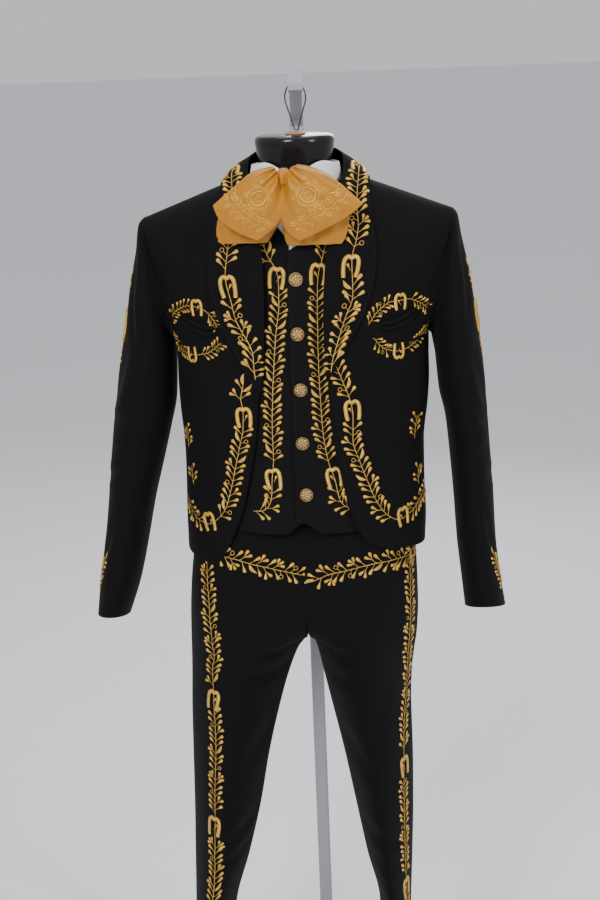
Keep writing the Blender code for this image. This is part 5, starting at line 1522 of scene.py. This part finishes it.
def lobeGrid(spec, across, along, squeeze=1.0, gap=None):
    # along 0 at the gather, 1 at the fold, 2 back at the gather
    u, v = np.meshgrid(across, along)
    reach = (1.0 - np.abs(1.0 - v)) * squeeze
    a, b = np.array(spec["upper"][0]), np.array(spec["inner"][0])
    c, d = np.array(spec["upper"][-1]), np.array(spec["inner"][-1])
    s, r = u[..., None], reach[..., None]
    flat = (a * (1 - s) + b * s) * (1 - r) + (c * (1 - s) + d * s) * r
    place = (alongCurve(spec["upper"], reach) * (1 - s) + alongCurve(spec["inner"], reach) * s
             + alongCurve(spec["gather"], u) * (1 - r) + alongCurve(spec["fold"], u) * r - flat)
    turn = np.cos(0.5 * math.pi * np.clip(v, 0.0, 2.0))
    turn = np.sign(turn) * np.abs(turn) ** 0.6
    dome = np.sin(math.pi * np.clip(reach, 0.0, 1.0) ** 0.9) ** 0.8
    dome = dome * np.clip(1.0 - (2.0 * u - 1.0) ** 2, 0.0, 1.0) ** 0.7
    halfGap = 0.0065 + np.where(v < 1.0, bowLook["dome"], 0.002) * dome
    if gap is not None:
        halfGap = gap + 0.35 * bowLook["dome"] * dome
    fan = (1.0 - reach) ** 1.6
    pleats = bowLook["pleatDepth"] * np.cos(2.0 * math.pi * bowLook["pleats"] * u + 0.6) * fan
    sweep = np.sin(math.pi * reach) * np.clip(1.0 - (2.0 * u - 1.0) ** 4, 0.0, 1.0)
    soft = bowLook["folds"] * sweep * (0.9 * np.exp(-((u - 0.66 + 0.12 * reach) / 0.07) ** 2)
                                       - 0.8 * np.exp(-((u - 0.50 + 0.10 * reach) / 0.06) ** 2)
                                       - 0.6 * np.exp(-((u - 0.82) / 0.06) ** 2))
    return stack(place[..., 0], bowY - halfGap * turn + pleats - soft, place[..., 1])


def scroll(size, turns, lead):
    # a stem that curls into a spiral, drawn upwards from (0, 0)
    t = np.linspace(0.0, 1.0, 22)
    angle = 2.0 * math.pi * turns * t
    radius = size * (1.0 - 0.82 * t)
    x = size - radius * np.cos(angle) - 0.0
    y = lead + radius * np.sin(angle)
    half = bowLook["scrollHalf"] * (0.42 + 0.36 * t)
    return [(np.concatenate([[(0.0, 0.0)], np.stack([x, y], axis=1)]), np.concatenate([[0.0004], half]))]


def roundLine(radius, half, start=0.0, end=2.0 * math.pi, squash=1.0):
    a = np.linspace(start, end, 34)
    return [(np.stack([radius * np.sin(a), squash * radius * np.cos(a)], axis=1), np.full(34, half))]


def bowDrawing(reach, halfFold):
    # a wreath with a horseshoe inside it, scrolls all round, and a border of scrolls near the fold
    drawn = []
    middle = (0.0, 0.50 * reach)
    thin = 0.6 * bowLook["scrollHalf"]
    drawn += turned(roundLine(0.0165, thin), middle, 0.0)
    drawn += turned(roundLine(0.0142, 0.8 * thin), middle, 0.0)
    drawn += turned(roundLine(0.0100, 0.0014, 0.55, 2.0 * math.pi - 0.55, 1.15), middle, 2.7)
    drawn += turned(roundLine(0.0062, thin, 0.7, 2.0 * math.pi - 0.7, 1.15), middle, 2.7)
    for k in range(10):
        a = 0.2 * math.pi * k + 0.2
        spot = (middle[0] + 0.0153 * math.sin(a), middle[1] + 0.0153 * math.cos(a))
        drawn += turned(scroll(0.0030, 1.1, 0.0012), spot, a + 0.5, 1.0, 1.0 if k % 2 else -1.0)
    for k in range(5):
        a = 0.4 * math.pi * k
        spot = (middle[0] + 0.0030 * math.sin(a), middle[1] + 0.0030 * math.cos(a))
        drawn += turned(scroll(0.0015, 0.9, 0.0004), spot, a, 1.0, 1.0)
    for k, p in enumerate(np.linspace(-0.86, 0.86, 13) * halfFold):
        lean = 0.9 if k % 2 else -0.9
        drawn += turned(scroll(0.0054, 1.15, 0.002), (p, 0.77 * reach), lean, 1.0, 1.0 if k % 2 else -1.0)
        drawn += turned(scroll(0.0036, 1.05, 0.002), (0.96 * p, 0.92 * reach), -lean + math.pi, 1.0, -1.0)
    wave = np.linspace(-0.9, 0.9, 80)
    for level, swing in ((0.70, 0.0026), (0.85, 0.0020)):
        line = np.stack([wave * halfFold, level * reach + swing * np.sin(17.0 * wave)], axis=1)
        drawn += [(line, np.full(len(wave), thin))]
    for p, q, lean, size, mirror in ((-0.56, 0.62, 0.9, 0.0052, 1), (0.56, 0.64, -0.8, 0.0052, -1),
                                     (-0.70, 0.74, 0.3, 0.0040, 1), (0.70, 0.73, -0.4, 0.0040, -1),
                                     (-0.20, 0.24, 0.5, 0.0038, -1), (0.18, 0.25, -0.4, 0.0038, 1),
                                     (-0.42, 0.44, 1.9, 0.0036, 1), (0.42, 0.45, -1.8, 0.0036, -1)):
        drawn += turned(scroll(size, 1.35, 0.002), (p * halfFold, q * reach), lean, 1.0, mirror)
    return drawn


def makeBow():
    for side, word in sideWords.items():
        spec = bowLobes[side]
        across = np.linspace(0.0, 1.0, 64)
        along = np.concatenate([np.linspace(0.0, 0.90, 46), np.linspace(0.915, 1.085, 18),
                                np.linspace(1.11, 1.95, 30)])
        grid = lobeGrid(spec, across, along)
        centre = np.array((grid[..., 0].mean(), bowY, grid[..., 2].mean()))
        n = normalsOf(grid, centre)
        if n[20, 30, 1] > 0.0:
            n = -n
        piece = shell("cloth_bow_loop_" + word, grid, satin, centre, 0.0012, n)
        clothPiece(piece, "bow_satin", "folded", ["cloth_bow_tail_" + word], "bow_loop_" + word)
        front = grid[:46]
        down = lengthsAlong(front, 0)[:, 31]
        sheet = SheetMap(front, n[:46], down, 31)
        halfFold = 0.5 * float(lengthsAlong(front, 1)[44, -1])
        lines = []
        for points, widths in bowDrawing(float(down[-1]), halfFold):
            width = np.interp(points[:, 1], down, lengthsAlong(front, 1)[:, -1]) * 0.47
            points = np.stack([np.clip(points[:, 0], -width, width), points[:, 1]], axis=1)
            place, normals = sheet.lay(points, 0.00005)
            lines.append((place, normals, widths))
        embroider("embroidery_bow_" + word, lines, "bow_satin", scrollThread, 0.30)

        inner = lobeGrid(spec, np.linspace(0.10, 0.97, 40), np.linspace(0.03, 0.97, 44), 0.90, 0.0015)
        inner[..., 1] += 0.0015 * np.sin(np.linspace(0.0, 9.0, 40))[None, :]
        away = centre + np.array((0.0, 0.3, 0.0))
        piece = shell("cloth_bow_fold_" + word, inner, shadedSatin, away, 0.0010)
        clothPiece(piece, "bow_satin", "folded", ["cloth_bow_tail_" + word])

        rows = bowTails[side]
        heights = [r[0] for r in rows[::-1]]
        u = np.linspace(0.0, 1.0, 50)
        grid = []
        for z in np.linspace(rows[0][0], rows[-1][0], 30):
            far = float(throughPoints(heights, [r[1] for r in rows[::-1]], z))
            near = float(throughPoints(heights, [r[2] for r in rows[::-1]], z))
            y = bowY + 0.0180 + 0.0015 * np.cos(4.0 * math.pi * u) + 0.0005 * np.sin(9.0 * math.pi * u + 1.0)
            grid.append(stack(near + (far - near) * u, y, z))
        grid = np.array(grid)
        piece = shell("cloth_bow_tail_" + word, grid, shadedSatin, np.array((0.0, 0.5, 1.5)), 0.0016)
        clothPiece(piece, "bow_lining", "hung", ["form_torso"], "bow_tail_" + word)

    levels = np.linspace(-1.0, 1.0, 34)
    turns = np.linspace(0.0, 2.0 * math.pi, 57)[:-1]
    rings = []
    for level in levels:
        share = 0.30 + 0.70 * (1.0 - abs(level) ** 5.0)
        c = np.sign(np.cos(turns)) * np.abs(np.cos(turns)) ** 0.7
        s = np.sign(np.sin(turns)) * np.abs(np.sin(turns)) ** 0.7
        groove = 1.0 + 0.16 * np.cos(7.0 * turns + 0.9 * level) * (1.0 - level ** 4)
        pinch = 1.0 - 0.16 * level + 0.05 * math.sin(5.0 * level)
        rings.append(stack(bowKnot[0] + 0.0105 * share * c * pinch * (0.6 + 0.4 * groove),
                           bowY - 0.001 + 0.0115 * share * s * groove,
                           bowKnot[1] - 0.002 + 0.0130 * level + 0.0009 * np.sin(3.0 * turns)))
    piece = loft("cloth_bow_knot", rings, satin)
    finishPiece(piece, "bow_satin", "bow_knot")

    turns = np.linspace(18.0, 342.0, 120)
    grid = np.array([neckRing(turns, 0.0018, z + standZ(turns)) for z in np.linspace(1.531, 1.541, 6)])
    piece = shell("cloth_bow_neckband", grid, shadedSatin, np.array((0.0, 0.0, 1.52)), 0.0012)
    clothPiece(piece, "bow_lining", "hung", ["cloth_shirt_stand"], "bow_neckband")


# trousers
legFolds = [
    (-0.020, 0.835, -0.130, 0.900, 0.0110, -0.0030, 0.006), (-0.015, 0.815, -0.120, 0.850, 0.0100, -0.0026,
                                                             0.005),
    (-0.030, 0.780, -0.140, 0.800, 0.0110, -0.0024, 0.006), (0.015, 0.835, 0.105, 0.895, 0.0110, -0.0028,
                                                             -0.005),
    (0.012, 0.812, 0.100, 0.845, 0.0100, -0.0024, -0.004), (0.020, 0.770, 0.110, 0.790, 0.0110, -0.0020,
                                                            -0.005),
    (-0.150, 0.960, -0.140, 0.780, 0.0140, -0.0020, 0.006), (0.135, 0.950, 0.130, 0.770, 0.0140, -0.0018,
                                                             -0.005),
    (-0.060, 0.700, -0.130, 0.610, 0.0130, -0.0022, 0.006), (0.040, 0.690, 0.105, 0.600, 0.0130, -0.0020,
                                                             -0.006),
    (-0.095, 0.530, -0.180, 0.490, 0.0120, -0.0026, 0.006), (-0.100, 0.480, -0.190, 0.455, 0.0110, -0.0022,
                                                             0.004),
    (0.070, 0.520, 0.140, 0.490, 0.0120, -0.0022, -0.005), (0.085, 0.470, 0.140, 0.455, 0.0110, -0.0020,
                                                            -0.003),
    (-0.130, 0.400, -0.150, 0.230, 0.0140, -0.0020, 0.004), (0.100, 0.400, 0.108, 0.220, 0.0130, -0.0018,
                                                             0.003),
    (-0.172, 0.130, -0.215, 0.110, 0.0100, -0.0020, 0.003), (0.095, 0.125, 0.138, 0.105, 0.0100, -0.0018,
                                                             0.003),
    (-0.160, 0.350, -0.205, 0.300, 0.0120, -0.0014, 0.0), (0.120, 0.330, 0.138, 0.260, 0.0120, -0.0012, 0.0),
]
legLook = {"pressed": 0.0017, "pressedWidth": 0.0045}
legLayouts = {
    -1: {"vines": [([(0.1640, 1.0010), (0.1450, 0.9960), (0.1276, 0.9915), (0.1075, 0.9880), (0.0850, 0.9810),
                     (0.0554, 0.9730), (0.0332, 0.9670), (0.0100, 0.9610)], "garland", 1.12),
                   ([(0.2000, 0.0600), (0.1930, 0.2000), (0.1840, 0.3300), (0.1722, 0.4162), (0.1669, 0.4875),
                     (0.1623, 0.5755), (0.1560, 0.6628), (0.1551, 0.7792), (0.1523, 0.8487), (0.1528, 0.9160),
                     (0.1529, 0.9720)], "broad", 1.06)],
         "horseshoes": [(0.1535, 0.7620, 0.0, 1.0), (0.1650, 0.5450, 0.05, 1.0), (0.1845, 0.3280, 0.1, 1.0),
                        (0.1960, 0.1150, 0.05, 1.0)]},
    1: {"vines": [([(0.1620, 0.9930), (0.1547, 0.9742), (0.1317, 0.9770), (0.1092, 0.9770), (0.0822, 0.9730),
                    (0.0567, 0.9665), (0.0341, 0.9615), (0.0120, 0.9520)], "garland", 1.12),
                  ([(0.1345, 0.0600), (0.1355, 0.2000), (0.1375, 0.3000), (0.1388, 0.3801), (0.1372, 0.4666),
                    (0.1373, 0.5558), (0.1402, 0.6900), (0.1460, 0.7521), (0.1500, 0.8239), (0.1540, 0.8958),
                    (0.1540, 0.9629)], "broad", 1.06)],
        "horseshoes": [(0.1385, 0.6300, 0.0, 1.0), (0.1375, 0.4150, 0.0, 1.0), (0.1360, 0.2000, 0.0, 1.0)]},
}


def legGrid(side, face, u, z):
    word = "Left" if side > 0 else "Right"
    u, z = np.meshgrid(u, z)
    outX = column(legTable, legColumns, "out" + word, z)
    inX = column(legTable, legColumns, "in" + word, z)
    deep = column(legTable, legColumns, "front" if face < 0 else "back", z)
    above = z - crotchZ
    share = np.sqrt(np.clip(1.0 - (1.0 - np.clip(above / crotchRise, 0.0, 1.0)) ** 2, 0.0, 1.0))
    share = np.where(above <= 0.0, 0.0, share)
    inX = inX + np.where(above > 0.0, seamGap, 0.0)
    crease = inX + (outX - inX) * (0.50 - 0.04 * smoothStep(above / 0.1))
    flat = 0.90 + 0.06 * smoothStep(above / 0.1)
    t = np.clip(u / 0.5, 0.0, 1.0)
    start = deep * 0.97 * share
    y1 = start + (deep - start) * np.sin(0.5 * math.pi * t) ** flat
    x1 = inX + (crease - inX) * t
    t = np.clip((u - 0.5) / 0.5, 0.0, 1.0)
    power = 1.55 + 0.75 * smoothStep((z - 0.75) / 0.2)
    y2 = deep * np.clip(1.0 - t ** power, 0.0, 1.0) ** (1.0 / power)
    x2 = crease + (outX - crease) * t
    x, y = np.where(u <= 0.5, x1, x2), np.where(u <= 0.5, y1, y2)
    grid = stack(side * x, face * (y + seamGap), z)
    middle = stack(side * 0.5 * (inX + outX), np.zeros_like(x), z)
    n = normalsOf(grid, middle)
    fold = foldHeight(grid[..., 0], grid[..., 2], legFolds)
    fold *= smoothStep((z - 0.045) / 0.03) * smoothStep((1.036 - z) / 0.03)
    fold *= smoothStep(u / 0.06) * smoothStep((1.0 - u) / 0.06)
    away = np.abs(x - crease) / legLook["pressedWidth"]
    pressed = legLook["pressed"] * np.exp(-away) * (1.0 - smoothStep((z - 0.80) / 0.12))
    return grid + n * (fold + pressed)[..., None], middle


def makeTrousers():
    u = np.concatenate([0.5 - 0.5 * np.linspace(1.0, 0.0, 26) ** 1.2,
                        0.5 + 0.5 * np.linspace(0.0, 1.0, 30)[1:]])
    u[25:] = 0.5 + 0.5 * np.sin(0.5 * math.pi * np.linspace(0.0, 1.0, 30))
    z = np.concatenate([np.linspace(0.040, 0.8255, 108), 0.8275 + 0.2085 * np.linspace(0.0, 1.0, 44) ** 1.3])
    for side, word in sideWords.items():
        for face, part in ((-1, "front"), (1, "back")):
            grid, middle = legGrid(side, face, u, z)
            name = "trousers_" + part + "_" + word
            piece = shell("cloth_" + name, grid, wool, middle)
            clothPiece(piece, "wool_cloth", "hung", ["form_torso"], name + "_shin", name + "_thigh",
                       name + "_hip")
            if face < 0:
                sheet = SheetMap(grid, normalsOf(grid, middle), z, 25)
                lines = garland(sheet, legLayouts[side], lambda x, q: (sheet.acrossFromX(x, q), q))
                embroider("embroidery_trousers_" + word, lines, "wool_cloth")
    turns = np.linspace(1.0, 359.0, 150)
    t = np.radians(turns)
    s, c = np.sin(t), np.cos(t)
    rows = []
    for level in np.linspace(bandZ[0], bandZ[1], 12):
        half = np.where(s > 0.0, 0.157, 0.166) - 0.10 * (level - bandZ[0])
        deep = np.where(c > 0.0, 0.102, 0.096) - 0.05 * (level - bandZ[0])
        rows.append(stack(half * np.sign(s) * np.abs(s) ** 0.87, -deep * np.sign(c) * np.abs(c) ** 0.87,
                          level))
    piece = shell("cloth_waistband", np.array(rows), wool, np.array((0.0, 0.0, 1.056)))
    clothPiece(piece, "wool_cloth", "hung", ["form_torso"], "trousers_waistband")


# dress form, plug, loop and stand
def makeForm():
    turns = np.linspace(0.0, 2.0 * math.pi, 121)[:-1]
    rings = []
    heights = np.concatenate([np.linspace(0.905, 1.575, 120), np.linspace(1.580, 1.6012, 16)])
    for z in heights:
        half, deep, power = (float(throughPoints([r[0] for r in formTable], [r[k] for r in formTable], z))
                             for k in (1, 2, 3))
        c = np.sign(np.cos(turns)) * np.abs(np.cos(turns)) ** (2.0 / power)
        s = np.sign(np.sin(turns)) * np.abs(np.sin(turns)) ** (2.0 / power)
        rings.append(stack(half * s, -deep * c, z))
    piece = loft("gloss_torso", rings, gloss)
    finishPiece(piece, "form_gloss", "form_torso")
    rings = []
    turns = np.linspace(0.0, 2.0 * math.pi, 49)[:-1]
    for radius, z in ((0.0140, 1.6015), (0.0147, 1.6017), (0.0150, 1.6023), (0.0150, 1.6032), (0.0147, 1.6039),
                      (0.0140, 1.6043), (0.0110, 1.6047), (0.0050, 1.6048)):
        rings.append(stack(plugX + radius * np.cos(turns), radius * np.sin(turns), z))
    piece = loft("wood_plug", rings, plugWood)
    finishPiece(piece, "form_plug", "form_neck_plug")


keptFinishes = {"stand_pole": standPaint, "stand_hook": standPaint, "stand_base": baseSteel,
                "stand_screw_1": wireSteel, "stand_screw_2": wireSteel, "form_wire_loop": wireSteel}


def dressKept():
    for node, finish in keptFinishes.items():
        for holder in bpy.data.objects:
            if holder.type == "MESH" and (holder.name == node or holder.name.startswith(node + ".")):
                if not holder.material_slots:
                    holder.data.materials.append(finish)
                for place in holder.material_slots:
                    place.material = finish


# camera, light and floor
cameraLook = {"away": 2.2, "turn": 3.5, "down": 15.6, "roll": 2.3, "side": -0.010, "height": 1.740,
              "lens": 59.44}


def facing(right, up, ahead, place):
    return Matrix([[right[k], up[k], -ahead[k], place[k]] for k in range(3)] + [[0.0, 0.0, 0.0, 1.0]])


def makeCamera():
    camera = bpy.data.cameras.new("frontCamera")
    camera.lens = cameraLook["lens"]
    camera.sensor_width = 36.0
    camera.sensor_height = 36.0
    camera.sensor_fit = "AUTO"
    camera.dof.use_dof = False
    camera.clip_start = 0.05
    camera.clip_end = 200.0
    a, p, r = (math.radians(cameraLook[k]) for k in ("turn", "down", "roll"))
    ahead = np.array((-math.sin(a) * math.cos(p), math.cos(a) * math.cos(p), -math.sin(p)))
    right = np.array((math.cos(a), math.sin(a), 0.0))
    up = np.cross(right, ahead)
    right, up = right * math.cos(r) - up * math.sin(r), right * math.sin(r) + up * math.cos(r)
    holder = bpy.data.objects.new("frontCamera", camera)
    bpy.context.scene.collection.objects.link(holder)
    place = (cameraLook["side"] + shiftX + cameraLook["away"] * math.sin(a),
             -cameraLook["away"] * math.cos(a), cameraLook["height"])
    holder.matrix_world = facing(right, up, ahead, place)
    bpy.context.scene.camera = holder


def makeFloor():
    finish = paintFinish("paleFloor", (0.80, 0.80, 0.83), (0.84, 0.84, 0.87), 0.8)
    mesh = bpy.data.meshes.new("paleFloor")
    mesh.from_pydata([(-40.0, -12.0, 0.0), (40.0, -12.0, 0.0), (40.0, 70.0, 0.0), (-40.0, 70.0, 0.0)], [],
                     [(0, 1, 2, 3)])
    mesh.materials.append(finish)
    floor = bpy.data.objects.new("paleFloor", mesh)
    bpy.context.scene.collection.objects.link(floor)


def makeLights():
    world = bpy.data.worlds.new("softRoom")
    world.use_nodes = True
    world.node_tree.nodes["Background"].inputs["Color"].default_value = (0.78, 0.79, 0.82, 1.0)
    world.node_tree.nodes["Background"].inputs["Strength"].default_value = 0.85
    bpy.context.scene.world = world
    for name, place, target, size, power in (
            ("keyLight", (-0.9, -2.9, 3.1), (0.0, 0.0, 1.2), (0.9, 1.2), 105.0),
            ("fillLight", (2.4, -1.9, 2.2), (0.0, 0.0, 1.1), (0.7, 1.6), 40.0),
            ("topLight", (0.2, 0.4, 3.6), (0.0, 0.0, 1.2), (2.2, 1.6), 26.0),
            ("backLight", (0.6, 3.0, 2.4), (0.0, 0.0, 1.1), (1.6, 1.6), 40.0)):
        lamp = bpy.data.lights.new(name, "AREA")
        lamp.shape = "RECTANGLE"
        lamp.size, lamp.size_y = size
        lamp.energy = power
        holder = bpy.data.objects.new(name, lamp)
        bpy.context.scene.collection.objects.link(holder)
        ahead = np.array(target) - np.array(place)
        ahead /= np.linalg.norm(ahead)
        right = np.cross(ahead, (0.0, 0.0, 1.0))
        right /= np.linalg.norm(right)
        up = np.cross(right, ahead)
        holder.matrix_world = facing(right, up, ahead, place)


for stage in (makeJacket, makeSleeves, makeCollar, makePockets, makeVest, makeButtons, makeShirt, makeBow,
              makeTrousers, makeForm, dressKept, makeCamera, makeFloor, makeLights):
    stage()
    print(stage.__name__, "done")
